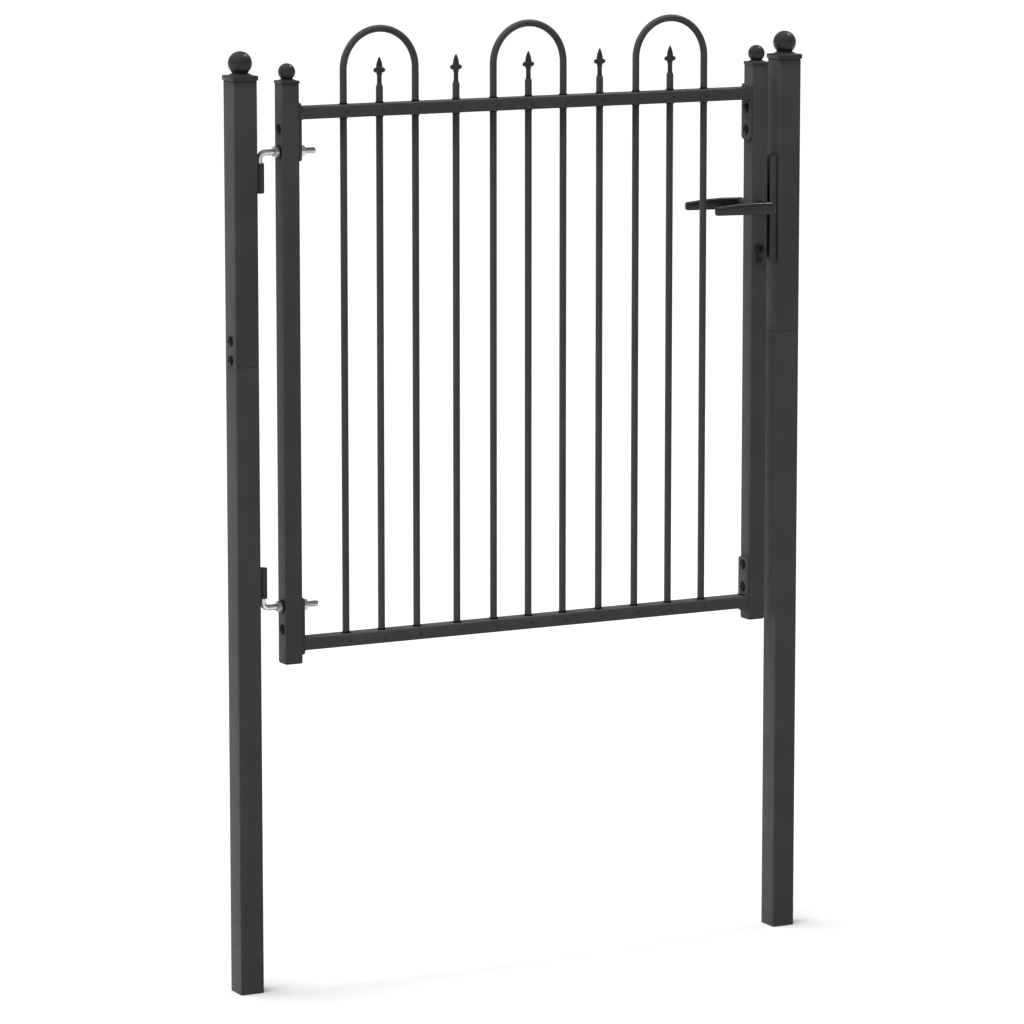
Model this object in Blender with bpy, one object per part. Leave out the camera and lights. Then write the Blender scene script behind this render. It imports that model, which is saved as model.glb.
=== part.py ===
"""Garden gate: a hooped leaf hung on two bolt hinges between square posts, with a lever lock.

The world frame is in metres, +Z up. Its origin is on the ground midway between the posts. +X runs from the
hinge post to the lock post, and the leaf opens towards -Y.
"""

import math

import bmesh
import bpy
from mathutils import Matrix, Vector

GAP = 0.0003  # clearance between two pieces that touch

# Posts: square tubes, each an upper length slipped over the spigot of a lower length.
POST_PITCH = 1.000
POST_SIDE = 0.041
POST_WALL = 0.0015
POST_CORNER = 0.0022
POST_TOP = 1.482
POST_SEAM = 1.026
SPIGOT_BELOW = 0.060
SPIGOT_ABOVE = 0.070
POST_SCREW_HEIGHTS = (1.036, 1.067)
HINGE_POST_X = -POST_PITCH / 2
LOCK_POST_X = POST_PITCH / 2

# Leaf frame: two square stiles, and two rails held between end plates.
STILE_SIDE = 0.030
STILE_WALL = 0.0015
STILE_CORNER = 0.0018
STILE_BOTTOM = 0.539
STILE_TOP = 1.474
HINGE_STILE_X = -0.4185
LOCK_STILE_X = 0.4456
RAIL_HEIGHT = 0.020
RAIL_WALL = 0.0015
TOP_RAIL_Z = 1.427
BOTTOM_RAIL_Z = 0.568
PLATE_THICKNESS = 0.004
PLATE_HEIGHT = 0.093
PLATE_CORNER = 0.004
UPPER_PLATE_Z = 1.3965
LOWER_PLATE_Z = 0.597
UPPER_SCREW_Z = 1.402
UPPER_BOLT_Z = 1.366
LOWER_BOLT_Z = 0.631
LOWER_SCREW_Z = 0.593

# Bars: three hoops and five pickets, in three groups of hoop leg, picket, hoop leg.
BAR_RADIUS = 0.0058
FIRST_BAR_X = -0.319
IN_GROUP = 0.0646
FIRST_GAP = 0.0735
GROUP_GAP = 0.0677
TRIPLE = (IN_GROUP, IN_GROUP)  # from a hoop's first leg to its picket, and on to its second leg
BAR_STEPS = TRIPLE + (FIRST_GAP, GROUP_GAP) + TRIPLE + (GROUP_GAP, GROUP_GAP) + TRIPLE
ARCH_STEPS = 14
HOOP_ARCH_Z = 1.492
PICKET_TOP = 1.4655
BAR_BOTTOM = 0.562
SPEAR_HEIGHT = 0.0455
SPEAR_STEM = 0.0039
SPEAR_LOBE = 0.0108
SPEAR_LOBE_Z = 0.0238
SPEAR_LOBE_HALF = 0.0043
SPEAR_DEPTH = 0.0042
SPEAR_BLADE = 0.0054

# Caps: a square rim, a flared neck and a ball.
POST_CAP_SIDE = 0.0445
POST_CAP_RIM = 0.0078
POST_BALL_RADIUS = 0.0193
POST_BALL_Z = 1.509
STILE_CAP_SIDE = 0.032
STILE_CAP_RIM = 0.0048
STILE_BALL_RADIUS = 0.0139
STILE_BALL_Z = 1.4925
CAP_SPIGOT = 0.012
CAP_RIM_EDGE = 0.0008
CAP_NECK_SHARE = 0.69  # of the ball's radius
CAP_FOOT_SHARE = 1.02  # of the ball's radius
CAP_FLARE_SHARE = 0.4  # of the neck's height, where the flare is halfway in
BALL_RINGS = 6
FLANGE_SIDE = 0.029
FLANGE_THICKNESS = 0.0015

# Hinges: a bent bolt through the stile turns in a barrel on the post.
HINGE_AXIS_X = -0.468
HINGE_BOLT_RADIUS = 0.005
HINGE_BEND = 0.010
HINGE_BOLT_END_X = -0.370
BARREL_RADIUS = 0.008
BARREL_BORE = 0.0054
UPPER_BARREL = (1.3013, 1.3493)
LOWER_BARREL = (0.647, 0.697)
NUT_FLATS = 0.017
NUT_HEIGHT = 0.008
WASHER_THICKNESS = 0.0014
WASHER_SHARE = 1.08  # of the nut's width across flats
BARREL_TAB_HALF = 0.005
BARREL_TAB_OVERLAP = 0.0015
BARREL_TAB_INSET = 0.002
PIN_INSET = 0.002

# Screws: a washer and a domed head in one turned piece.
SCREW_SHANK = 0.0032
SCREW_HEAD = 0.0070
SCREW_HEAD_HEIGHT = 0.0028
SCREW_WASHER = 0.0086
SCREW_WASHER_HEIGHT = 0.0011
SCREW_HEAD_RIM = 0.0006
POST_SCREW_LENGTH = 0.0055
PLATE_SCREW_LENGTH = 0.010
SCREW_TIP = 0.003  # of the long screws, past their inner plate
SCREW_DOME_STEPS = 3
HOLE_REACH = 1.3  # of a stile's side, for a hole drilled right through it

# Lock: a mortise case in the lock stile, with levers, a latch, a dead bolt and a profile cylinder.
SPINDLE_Z = 1.238
LEVER_PLANE = 0.050
LEVER_REACH = 0.1052
LEVER_HUB_RADIUS = 0.0098
LEVER_TIP_HALF = 0.0070
LEVER_TIP_DROP = 0.0008
LEVER_ARCH = 0.0022
LEVER_THICKNESS = 0.010
LEVER_NECK = 0.0075
LEVER_TIP_CORNER = 0.004
LEVER_EDGE = 0.0024
SOCKET_DEPTH = 0.008  # from the lever's plane back to the socket's floor
ROSETTE_RADIUS = 0.0093
ROSETTE_THICKNESS = 0.003
SPINDLE_SIDE = 0.007
FOLLOWER_RADIUS = 0.0068
FOLLOWER_HALF = 0.006
FOLLOWER_ARM_HALF = 0.002
FOLLOWER_ARM = (0.003, 0.0125)  # above the spindle's centre
CASE_BOTTOM = 1.132
CASE_TOP = 1.296
CASE_BACK_X = 0.4327
CASE_HALF = 0.010
CASE_WALL = 0.0015
SLOT_REACH = 0.004  # of a slot's cutter, either side of the face it cuts
LATCH_Z = 1.262
LATCH_HALF = 0.0075
LATCH_HEIGHT = 0.016
LATCH_BACK_X = 0.4462
LATCH_TIP_X = 0.4714
LATCH_FLAT = 0.003  # of the nose, in front of its slope
LATCH_SHOULDER = 0.0008
BOLT_Z = 1.200
BOLT_HALF = 0.007
BOLT_HEIGHT = 0.018
BOLT_BACK_X = 0.4382
CYLINDER_Z = 1.167
CYLINDER_RADIUS = 0.0085
CYLINDER_LEG = 0.005
CYLINDER_BOTTOM = 1.1425
CYLINDER_HALF = 0.018
PLUG_RADIUS = 0.006

# Keep: a folded plate on the lock post. Its short lip holds the latch and its long lip stops the stile.
KEEP_BOTTOM = 1.1455
KEEP_TOP = 1.3215
KEEP_SHEET = 0.002
KEEP_FRONT_Y = -0.0155
KEEP_LIP_X = 0.466
STOP_LIP_X = 0.455
STOP_FACE_Y = 0.016

CORNER_STEPS = 2
ROUND_SIDES = 4 * (CORNER_STEPS + 1)

BODIES = {
    "posts": Vector((0, 0, 0)),
    "leaf": Vector((HINGE_AXIS_X, 0, 0)),
    "handle": Vector((LOCK_STILE_X, 0, SPINDLE_Z)),
    "latch": Vector((LOCK_STILE_X, 0, LATCH_Z)),
    "deadbolt": Vector((LOCK_STILE_X, 0, BOLT_Z)),
    "key_plug": Vector((LOCK_STILE_X, 0, CYLINDER_Z)),
}

# Finishes: linear colour, roughness and metallic value.
FINISHES = {
    "powder_coat": ((0.042, 0.043, 0.045), 0.45, 0.0),
    "zinc_plate": ((0.62, 0.63, 0.65), 0.32, 1.0),
    "black_screw": ((0.018, 0.018, 0.019), 0.4, 0.0),
    "lever_enamel": ((0.036, 0.037, 0.040), 0.3, 0.0),
    "lock_steel": ((0.45, 0.45, 0.46), 0.35, 1.0),
    "cylinder_nickel": ((0.05, 0.05, 0.052), 0.35, 0.6),
}

body_empties = {}


# Scene and pieces


def clear_scene():
    """Removes every object that the scene starts with."""
    for obj in list(bpy.data.objects):
        bpy.data.objects.remove(obj, do_unlink=True)


def add_bodies():
    """One empty for each moving body, on that body's joint axis."""
    for name, place in BODIES.items():
        empty = bpy.data.objects.new(f"body_{name}", None)
        empty.empty_display_size = 0.05
        empty.location = place
        bpy.context.collection.objects.link(empty)
        body_empties[name] = empty


def make_material(name, finish):
    """A Principled material in one of the named finishes."""
    colour, roughness, metallic = FINISHES[finish]
    material = bpy.data.materials.new(name)
    material.use_nodes = True
    shader = material.node_tree.nodes["Principled BSDF"]
    shader.inputs["Base Color"].default_value = (*colour, 1)
    shader.inputs["Roughness"].default_value = roughness
    shader.inputs["Metallic"].default_value = metallic
    return material


def new_object(name, bm, place, turn=None):
    """An object made from a bmesh, whose own origin goes to place."""
    mesh = bpy.data.meshes.new(name)
    bm.to_mesh(mesh)
    bm.free()
    mesh.shade_smooth()
    mesh.set_sharp_from_angle(angle=math.radians(32))
    obj = bpy.data.objects.new(name, mesh)
    obj.location = place
    if turn is not None:
        obj.rotation_euler = turn
    bpy.context.collection.objects.link(obj)
    return obj


def add_piece(name, bm, finish, body, place=(0, 0, 0), turn=None):
    """One finished piece, hung on its body's empty without being moved."""
    obj = new_object(name, bm, place, turn)
    obj.data.materials.append(make_material(f"{name}_{finish}", finish))
    obj.parent = body_empties[body]
    obj.matrix_parent_inverse = Matrix.Translation(-BODIES[body])
    return obj


def combine(target, bm, operation):
    """Cuts a helper shape from a piece, or joins it on. The helper is in world coordinates."""
    helper = new_object(f"{target.name}_{operation.lower()}_helper_{len(target.modifiers)}", bm, (0, 0, 0))
    helper.hide_render = True
    helper.display_type = "WIRE"
    modifier = target.modifiers.new(f"{operation.title()} {len(target.modifiers)}", "BOOLEAN")
    modifier.operation = operation
    modifier.object = helper


# Outlines: lists of (u, v) points, anticlockwise


def rounded_rectangle(width, height, radius):
    """A rectangle about the origin with an arc of CORNER_STEPS steps at each corner."""
    points = []
    for corner in range(4):
        side_u = 1 if corner in (0, 3) else -1
        side_v = 1 if corner in (0, 1) else -1
        for step in range(CORNER_STEPS + 1):
            angle = math.pi / 2 * (corner + step / CORNER_STEPS)
            u = side_u * (width / 2 - radius) + radius * math.cos(angle)
            v = side_v * (height / 2 - radius) + radius * math.sin(angle)
            points.append((u, v))
    return points


def ellipse(radius_u, radius_v):
    """An ellipse whose points pair up with those of a rounded rectangle with as many points."""
    angles = [2 * math.pi * (side + 0.5) / ROUND_SIDES for side in range(ROUND_SIDES)]
    return [(radius_u * math.cos(angle), radius_v * math.sin(angle)) for angle in angles]


def hexagon(flats):
    """A hexagon across flats, with a point at each corner and at the middle of each side."""
    points = []
    for index in range(12):
        radius = flats / 2 if index % 2 else flats / 2 / math.cos(math.pi / 6)
        angle = math.pi / 6 * index
        points.append((radius * math.cos(angle), radius * math.sin(angle)))
    return points


def arc(centre, radius, start, end, steps):
    """Points along an arc, with its angles in degrees."""
    angles = [math.radians(start + (end - start) * step / steps) for step in range(steps + 1)]
    return [(centre[0] + radius * math.cos(angle), centre[1] + radius * math.sin(angle)) for angle in angles]


def profile_cylinder_outline(grow=0.0):
    """The keyhole outline of a profile cylinder, in X and Z, grown all round for its cut-out."""
    radius = CYLINDER_RADIUS + grow
    leg = CYLINDER_LEG + grow
    leg_angle = math.degrees(math.acos(leg / radius))
    foot = CYLINDER_BOTTOM - grow - CYLINDER_Z + leg
    body = arc((0, 0), radius, -leg_angle, 180 + leg_angle, 14)
    return body + arc((0, foot), leg, 180, 360, 6)


# Solids


def lift(axis, u, v, w):
    """The point at (u, v) across an axis and w along it."""
    return {"X": Vector((w, u, v)), "Y": Vector((u, w, v)), "Z": Vector((u, v, w))}[axis]


def loft(loops, closed=False):
    """A skin from each loop of points to the next. A loop of one point is a tip."""
    bm = bmesh.new()
    rings = [[bm.verts.new(point) for point in loop] for loop in loops]
    pairs = list(zip(rings, rings[1:]))
    if closed:
        pairs.append((rings[-1], rings[0]))
    for lower, upper in pairs:
        count = max(len(lower), len(upper))
        for index in range(count):
            corners = []
            for ring, at in ((lower, index), (lower, index + 1), (upper, index + 1), (upper, index)):
                corner = ring[at % len(ring)]
                if corner not in corners:
                    corners.append(corner)
            bm.faces.new(corners)
    if not closed:
        for ring in (rings[0], rings[-1]):
            if len(ring) > 1:
                bm.faces.new(ring)
    bmesh.ops.recalc_face_normals(bm, faces=bm.faces)
    return bm


def prism(axis, outline, low, high):
    """An outline pushed along an axis."""
    return loft([[lift(axis, u, v, w) for u, v in outline] for w in (low, high)])


def tube(axis, outer, inner, low, high):
    """A hollow length with open ends."""
    ends = ((outer, low), (outer, high), (inner, high), (inner, low))
    return loft([[lift(axis, u, v, w) for u, v in outline] for outline, w in ends], closed=True)


def box(low, high):
    """A plain box between two corners."""
    outline = [(low[0], low[1]), (high[0], low[1]), (high[0], high[1]), (low[0], high[1])]
    return prism("Z", outline, low[2], high[2])


def rod(axis, centre, radius, length):
    """A round rod along an axis, centred on a point."""
    bm = prism(axis, ellipse(radius, radius), -length / 2, length / 2)
    bmesh.ops.translate(bm, vec=Vector(centre), verts=bm.verts)
    return bm


def merge(solids):
    """Several separate solids in one bmesh, for a helper that cuts them all at once."""
    whole = bmesh.new()
    for solid in solids:
        mesh = bpy.data.meshes.new("part_of_helper")
        solid.to_mesh(mesh)
        solid.free()
        whole.from_mesh(mesh)
        bpy.data.meshes.remove(mesh)
    return whole


def turned(profile):
    """A solid turned about Z from (radius, z) points. A radius of 0 is a tip."""
    loops = []
    for radius, z in profile:
        outline = ellipse(radius, radius) if radius else [(0, 0)]
        loops.append([lift("Z", u, v, z) for u, v in outline])
    return loft(loops)


def bent_rod(path, radius):
    """A round rod along a path in the XZ plane, given as (x, z) points."""
    loops = []
    for index, (x, z) in enumerate(path):
        before = Vector(path[max(index - 1, 0)])
        after = Vector(path[min(index + 1, len(path) - 1)])
        along = (after - before).normalized()
        side = Vector((-along.y, 0, along.x))
        loops.append([Vector((x, 0, z)) + side * u + Vector((0, v, 0)) for u, v in ellipse(radius, radius)])
    return loft(loops)


# Posts


def post_halves(name, x):
    """The lower length with its spigot, and the upper length that slips over it."""
    outer = rounded_rectangle(POST_SIDE, POST_SIDE, POST_CORNER)
    room = POST_SIDE - 2 * POST_WALL
    inner = rounded_rectangle(room, room, POST_CORNER - POST_WALL)
    plug_side = room - 2 * GAP
    plug = rounded_rectangle(plug_side, plug_side, POST_CORNER - POST_WALL)
    bore_side = plug_side - 2 * POST_WALL
    bore = rounded_rectangle(bore_side, bore_side, POST_CORNER - POST_WALL)
    stations = (
        (outer, 0),
        (outer, POST_SEAM),
        (plug, POST_SEAM),
        (plug, POST_SEAM + SPIGOT_ABOVE),
        (bore, POST_SEAM + SPIGOT_ABOVE),
        (bore, POST_SEAM - SPIGOT_BELOW),
        (inner, POST_SEAM - SPIGOT_BELOW),
        (inner, 0),
    )
    loops = [[lift("Z", u, v, z) for u, v in outline] for outline, z in stations]
    lower = add_piece(f"{name}_lower", loft(loops, closed=True), "powder_coat", "posts", (x, 0, 0))
    upper_mesh = tube("Z", outer, inner, POST_SEAM + GAP, POST_TOP)
    upper = add_piece(f"{name}_upper", upper_mesh, "powder_coat", "posts", (x, 0, 0))
    return lower, upper


def ball_cap(name, body, x, top, side, corner, room, rim, ball):
    """A cap with a spigot in the tube, a square rim over its end, a flared neck and a ball."""
    ball_radius, ball_z = ball
    spigot = rounded_rectangle(room - 2 * GAP, room - 2 * GAP, corner / 2)
    rim_outline = rounded_rectangle(side, side, corner)
    soft_side = side - 2 * CAP_RIM_EDGE
    soft_rim = rounded_rectangle(soft_side, soft_side, corner)
    base = top + GAP
    neck = CAP_NECK_SHARE * ball_radius
    foot = min(CAP_FOOT_SHARE * ball_radius, side / 2 - 2 * CAP_RIM_EDGE)
    rim_top = base + rim
    neck_z = ball_z - math.sqrt(ball_radius**2 - neck**2)
    middle = (foot + neck) / 2
    stations = [
        (spigot, top - CAP_SPIGOT),
        (spigot, base),
        (rim_outline, base),
        (rim_outline, rim_top - CAP_RIM_EDGE),
        (soft_rim, rim_top),
        (ellipse(foot, foot), rim_top),
        (ellipse(middle, middle), rim_top + CAP_FLARE_SHARE * (neck_z - rim_top)),
    ]
    first = -math.degrees(math.acos(neck / ball_radius))
    for ring in range(BALL_RINGS):
        angle = math.radians(first + (90 - first) * ring / BALL_RINGS)
        radius = ball_radius * math.cos(angle)
        stations.append((ellipse(radius, radius), ball_z + ball_radius * math.sin(angle)))
    loops = [[lift("Z", u, v, z) for u, v in outline] for outline, z in stations]
    loops.append([Vector((0, 0, ball_z + ball_radius))])
    return add_piece(name, loft(loops), "powder_coat", body, (x, 0, 0))


def screw(name, body, place, outward, length):
    """A domed screw with its washer. Its head faces outward along X, and its shank runs the other way."""
    dome_base = SCREW_WASHER_HEIGHT + SCREW_HEAD_RIM
    profile = [
        (SCREW_SHANK, -length),
        (SCREW_SHANK, GAP),
        (SCREW_WASHER, GAP),
        (SCREW_WASHER, SCREW_WASHER_HEIGHT),
        (SCREW_HEAD, SCREW_WASHER_HEIGHT),
    ]
    for step in range(SCREW_DOME_STEPS):
        angle = math.pi / 2 * step / SCREW_DOME_STEPS
        radius = SCREW_HEAD * math.cos(angle)
        profile.append((radius, dome_base + (SCREW_HEAD_HEIGHT - SCREW_HEAD_RIM) * math.sin(angle)))
    profile.append((0, SCREW_WASHER_HEIGHT + SCREW_HEAD_HEIGHT))
    turn = (0, outward * math.pi / 2, 0)
    return add_piece(name, turned(profile), "black_screw", body, place, turn)


def screw_hole(x, z, length):
    """A helper that drills a screw's clearance hole along X."""
    return rod("X", (x, 0, z), SCREW_SHANK + 2 * GAP, length)


def build_post(name, x, outward):
    """One post with its cap and the two screws that hold its lengths together."""
    lower, upper = post_halves(name, x)
    face = x + outward * POST_SIDE / 2
    for piece in (lower, upper):
        holes = [screw_hole(face, z, 2.5 * POST_SCREW_LENGTH) for z in POST_SCREW_HEIGHTS]
        combine(piece, merge(holes), "DIFFERENCE")
    for place, z in zip(("lower", "upper"), POST_SCREW_HEIGHTS):
        screw(f"{name}_{place}_screw", "posts", (face, 0, z), outward, POST_SCREW_LENGTH)
    room = POST_SIDE - 2 * POST_WALL
    ball = (POST_BALL_RADIUS, POST_BALL_Z)
    ball_cap(f"{name}_cap", "posts", x, POST_TOP, POST_CAP_SIDE, POST_CORNER, room, POST_CAP_RIM, ball)


def hinge_barrel(name, low, high):
    """A barrel with the tab that holds it off the post."""
    outer = ellipse(BARREL_RADIUS, BARREL_RADIUS)
    bore = ellipse(BARREL_BORE, BARREL_BORE)
    barrel = add_piece(name, tube("Z", outer, bore, low, high), "powder_coat", "posts", (HINGE_AXIS_X, 0, 0))
    tab_end = HINGE_AXIS_X - BARREL_RADIUS + BARREL_TAB_OVERLAP
    tab_low = (HINGE_POST_X + POST_SIDE / 2 + GAP, -BARREL_TAB_HALF, low + BARREL_TAB_INSET)
    tab_high = (tab_end, BARREL_TAB_HALF, high - BARREL_TAB_INSET)
    combine(barrel, box(tab_low, tab_high), "UNION")


def build_keep():
    """The folded keep: a web on the post, a short lip in front and a long stop lip behind."""
    back = LOCK_POST_X - POST_SIDE / 2 - GAP
    web = back - KEEP_SHEET
    inner_front = KEEP_FRONT_Y + KEEP_SHEET
    stop_back = STOP_FACE_Y + KEEP_SHEET
    outline = [
        (back, KEEP_FRONT_Y),
        (back, stop_back),
        (STOP_LIP_X, stop_back),
        (STOP_LIP_X, STOP_FACE_Y),
        (web, STOP_FACE_Y),
        (web, inner_front),
        (KEEP_LIP_X, inner_front),
        (KEEP_LIP_X, KEEP_FRONT_Y),
    ]
    add_piece("latch_keep", prism("Z", outline, KEEP_BOTTOM, KEEP_TOP), "powder_coat", "posts")


# Leaf


def build_stile(name, x):
    """One stile with its cap and its end plug."""
    room = STILE_SIDE - 2 * STILE_WALL
    outer = rounded_rectangle(STILE_SIDE, STILE_SIDE, STILE_CORNER)
    inner = rounded_rectangle(room, room, STILE_CORNER - STILE_WALL)
    length = tube("Z", outer, inner, STILE_BOTTOM, STILE_TOP)
    stile = add_piece(name, length, "powder_coat", "leaf", (x, 0, 0))
    ball = (STILE_BALL_RADIUS, STILE_BALL_Z)
    ball_cap(f"{name}_cap", "leaf", x, STILE_TOP, STILE_CAP_SIDE, STILE_CORNER, room, STILE_CAP_RIM, ball)
    plug = rounded_rectangle(room - 2 * GAP, room - 2 * GAP, STILE_CORNER - STILE_WALL)
    flange = rounded_rectangle(FLANGE_SIDE, FLANGE_SIDE, STILE_CORNER)
    flange_top = STILE_BOTTOM - GAP
    stations = (
        (flange, flange_top - FLANGE_THICKNESS),
        (flange, flange_top),
        (plug, flange_top),
        (plug, STILE_BOTTOM + CAP_SPIGOT),
    )
    loops = [[lift("Z", u, v, z) for u, v in outline] for outline, z in stations]
    add_piece(f"{name}_plug", loft(loops), "black_screw", "leaf", (x, 0, 0))
    return stile


def end_plate(name, x, z, hole_heights, hole_radii):
    """A plate with rounded corners and two holes, flat against a stile."""
    outline = rounded_rectangle(STILE_SIDE, PLATE_HEIGHT, PLATE_CORNER)
    half = PLATE_THICKNESS / 2
    plate = add_piece(name, prism("X", outline, -half, half), "powder_coat", "leaf", (x, 0, z))
    holes = []
    for height, radius in zip(hole_heights, hole_radii):
        holes.append(rod("X", (x, 0, height), radius, 3 * PLATE_THICKNESS))
    combine(plate, merge(holes), "DIFFERENCE")


def bar_positions():
    """The X of each bar, from the hinge side: three groups of three with a picket between groups."""
    positions = [FIRST_BAR_X]
    for step in BAR_STEPS:
        positions.append(positions[-1] + step)
    return positions


def build_rails():
    """The two rails, drilled for the bars: right through the top one, and into the bottom one."""
    left = HINGE_STILE_X + STILE_SIDE / 2 + PLATE_THICKNESS + 2 * GAP
    right = LOCK_STILE_X - STILE_SIDE / 2 - PLATE_THICKNESS - 2 * GAP
    outer = rounded_rectangle(STILE_SIDE, RAIL_HEIGHT, STILE_CORNER)
    drill = BAR_RADIUS + 1.3 * GAP
    room = (STILE_SIDE - 2 * RAIL_WALL, RAIL_HEIGHT - 2 * RAIL_WALL)
    inner = rounded_rectangle(*room, STILE_CORNER - RAIL_WALL)
    for name, z, drill_z in (
        ("top_rail", TOP_RAIL_Z, TOP_RAIL_Z),
        ("bottom_rail", BOTTOM_RAIL_Z, BOTTOM_RAIL_Z + RAIL_HEIGHT / 2),
    ):
        rail = add_piece(name, tube("X", outer, inner, left, right), "powder_coat", "leaf", (0, 0, z))
        depth = 2 * RAIL_HEIGHT if name == "top_rail" else RAIL_HEIGHT / 2
        drills = [rod("Z", (x, 0, drill_z), drill, depth) for x in bar_positions()]
        combine(rail, merge(drills), "DIFFERENCE")


def build_hoops_and_pickets():
    """Each hoop is one bent bar over a picket. Pickets also stand between the hoops."""
    xs = bar_positions()
    hoop_starts = (0, 4, 8)
    for number, start in enumerate(hoop_starts, 1):
        centre = (xs[start] + xs[start + 2]) / 2
        radius = (xs[start + 2] - xs[start]) / 2
        path = [(xs[start], BAR_BOTTOM)]
        path += arc((centre, HOOP_ARCH_Z), radius, 180, 0, ARCH_STEPS)
        path.append((xs[start + 2], BAR_BOTTOM))
        add_piece(f"hoop_{number}", bent_rod(path, BAR_RADIUS), "powder_coat", "leaf")
    picket_xs = [xs[index] for index in (1, 3, 5, 7, 9)]
    for number, x in enumerate(picket_xs, 1):
        length = PICKET_TOP - BAR_BOTTOM
        middle = (PICKET_TOP + BAR_BOTTOM) / 2
        picket = rod("Z", (0, 0, 0), BAR_RADIUS, length)
        add_piece(f"picket_{number}", picket, "powder_coat", "leaf", (x, 0, middle))
        add_piece(f"spear_{number}", spear(), "powder_coat", "leaf", (x, 0, PICKET_TOP + GAP))


def spear():
    """A cast point: a shoulder, a thin neck, two side lobes and a flat leaf-shaped blade."""
    lobe_low = SPEAR_LOBE_Z - SPEAR_LOBE_HALF
    lobe_high = SPEAR_LOBE_Z + SPEAR_LOBE_HALF
    blade_run = SPEAR_HEIGHT - lobe_high
    stations = (
        (0.9 * BAR_RADIUS, 0.9 * BAR_RADIUS, 0.0),
        (SPEAR_STEM, SPEAR_STEM, SPEAR_STEM / 2),
        (SPEAR_STEM, SPEAR_STEM, lobe_low - SPEAR_STEM / 2),
        (SPEAR_BLADE, SPEAR_DEPTH, lobe_low),
        (0.92 * SPEAR_LOBE, SPEAR_DEPTH, SPEAR_LOBE_Z - SPEAR_LOBE_HALF / 2),
        (SPEAR_LOBE, SPEAR_DEPTH, SPEAR_LOBE_Z),
        (0.88 * SPEAR_LOBE, SPEAR_DEPTH, SPEAR_LOBE_Z + SPEAR_LOBE_HALF / 2),
        (SPEAR_BLADE, 0.76 * SPEAR_DEPTH, lobe_high),
        (0.94 * SPEAR_BLADE, 0.70 * SPEAR_DEPTH, lobe_high + 0.3 * blade_run),
        (0.56 * SPEAR_BLADE, 0.48 * SPEAR_DEPTH, lobe_high + 0.75 * blade_run),
    )
    loops = [[lift("Z", u, v, z) for u, v in ellipse(rx, ry)] for rx, ry, z in stations]
    loops.append([Vector((0, 0, SPEAR_HEIGHT))])
    return loft(loops)


def hinge_bolt(name, z, down):
    """A bolt that runs level through the stile, then bends down or up into its barrel."""
    turn = -1 if down else 1
    centre = (HINGE_AXIS_X + HINGE_BEND, z + turn * HINGE_BEND)
    pin_end = UPPER_BARREL[0] + PIN_INSET if down else LOWER_BARREL[1] - PIN_INSET
    bend = arc(centre, HINGE_BEND, -90 * turn, -180 * turn, 6)
    path = [(HINGE_BOLT_END_X, z)] + bend + [(HINGE_AXIS_X, pin_end)]
    add_piece(name, bent_rod(path, HINGE_BOLT_RADIUS), "zinc_plate", "leaf")


def hinge_nut(name, x, z, outward):
    """A hexagon nut with its washer, screwed up against a face at x."""
    nut_outline = hexagon(NUT_FLATS)
    washer = [(WASHER_SHARE * u, WASHER_SHARE * v) for u, v in ellipse(NUT_FLATS / 2, NUT_FLATS / 2)]
    bore = ellipse(HINGE_BOLT_RADIUS + 2 * GAP, HINGE_BOLT_RADIUS + 2 * GAP)
    face = GAP
    step = face + WASHER_THICKNESS
    end = step + NUT_HEIGHT
    stations = (
        (washer, face),
        (washer, step),
        (nut_outline, step),
        (nut_outline, end),
        (bore, end),
        (bore, face),
    )
    loops = [[lift("X", u, v, outward * w) for u, v in outline] for outline, w in stations]
    add_piece(name, loft(loops, closed=True), "zinc_plate", "leaf", (x, 0, z))


def build_frame_joints(hinge_stile, lock_stile):
    """The end plates, hinge bolts, nuts and screws, and the holes they take in the stiles."""
    hinge_outer = HINGE_STILE_X - STILE_SIDE / 2
    hinge_inner = HINGE_STILE_X + STILE_SIDE / 2
    hinge_plate = hinge_inner + GAP + PLATE_THICKNESS / 2
    lock_inner = LOCK_STILE_X - STILE_SIDE / 2
    lock_plate = lock_inner - GAP - PLATE_THICKNESS / 2
    screw_bore = SCREW_SHANK + 2 * GAP
    bolt_bore = HINGE_BOLT_RADIUS + 2 * GAP
    hinge_holes = []
    lock_holes = []
    for level, plate_z, screw_z, bolt_z in (
        ("upper", UPPER_PLATE_Z, UPPER_SCREW_Z, UPPER_BOLT_Z),
        ("lower", LOWER_PLATE_Z, LOWER_SCREW_Z, LOWER_BOLT_Z),
    ):
        heights = (screw_z, bolt_z)
        end_plate(f"{level}_hinge_plate", hinge_plate, plate_z, heights, (screw_bore, bolt_bore))
        end_plate(f"{level}_lock_plate", lock_plate, plate_z, heights, (screw_bore, screw_bore))
        hinge_holes.append(rod("X", (HINGE_STILE_X, 0, bolt_z), bolt_bore, HOLE_REACH * STILE_SIDE))
        hinge_holes.append(screw_hole(HINGE_STILE_X, screw_z, HOLE_REACH * STILE_SIDE))
        through = STILE_SIDE + PLATE_THICKNESS + SCREW_TIP
        screw(f"{level}_hinge_plate_screw", "leaf", (hinge_outer, 0, screw_z), -1, through)
        for place, height in (("first", screw_z), ("second", bolt_z)):
            face = lock_plate - PLATE_THICKNESS / 2
            screw(f"{level}_lock_plate_{place}_screw", "leaf", (face, 0, height), -1, PLATE_SCREW_LENGTH)
            lock_holes.append(screw_hole(lock_inner, height, PLATE_SCREW_LENGTH))
        hinge_bolt(f"{level}_hinge_bolt", bolt_z, level == "upper")
        hinge_nut(f"{level}_outer_nut", hinge_outer, bolt_z, -1)
        hinge_nut(f"{level}_inner_nut", hinge_plate + PLATE_THICKNESS / 2, bolt_z, 1)
    combine(hinge_stile, merge(hinge_holes), "DIFFERENCE")
    combine(lock_stile, merge(lock_holes), "DIFFERENCE")


# Lock


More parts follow.
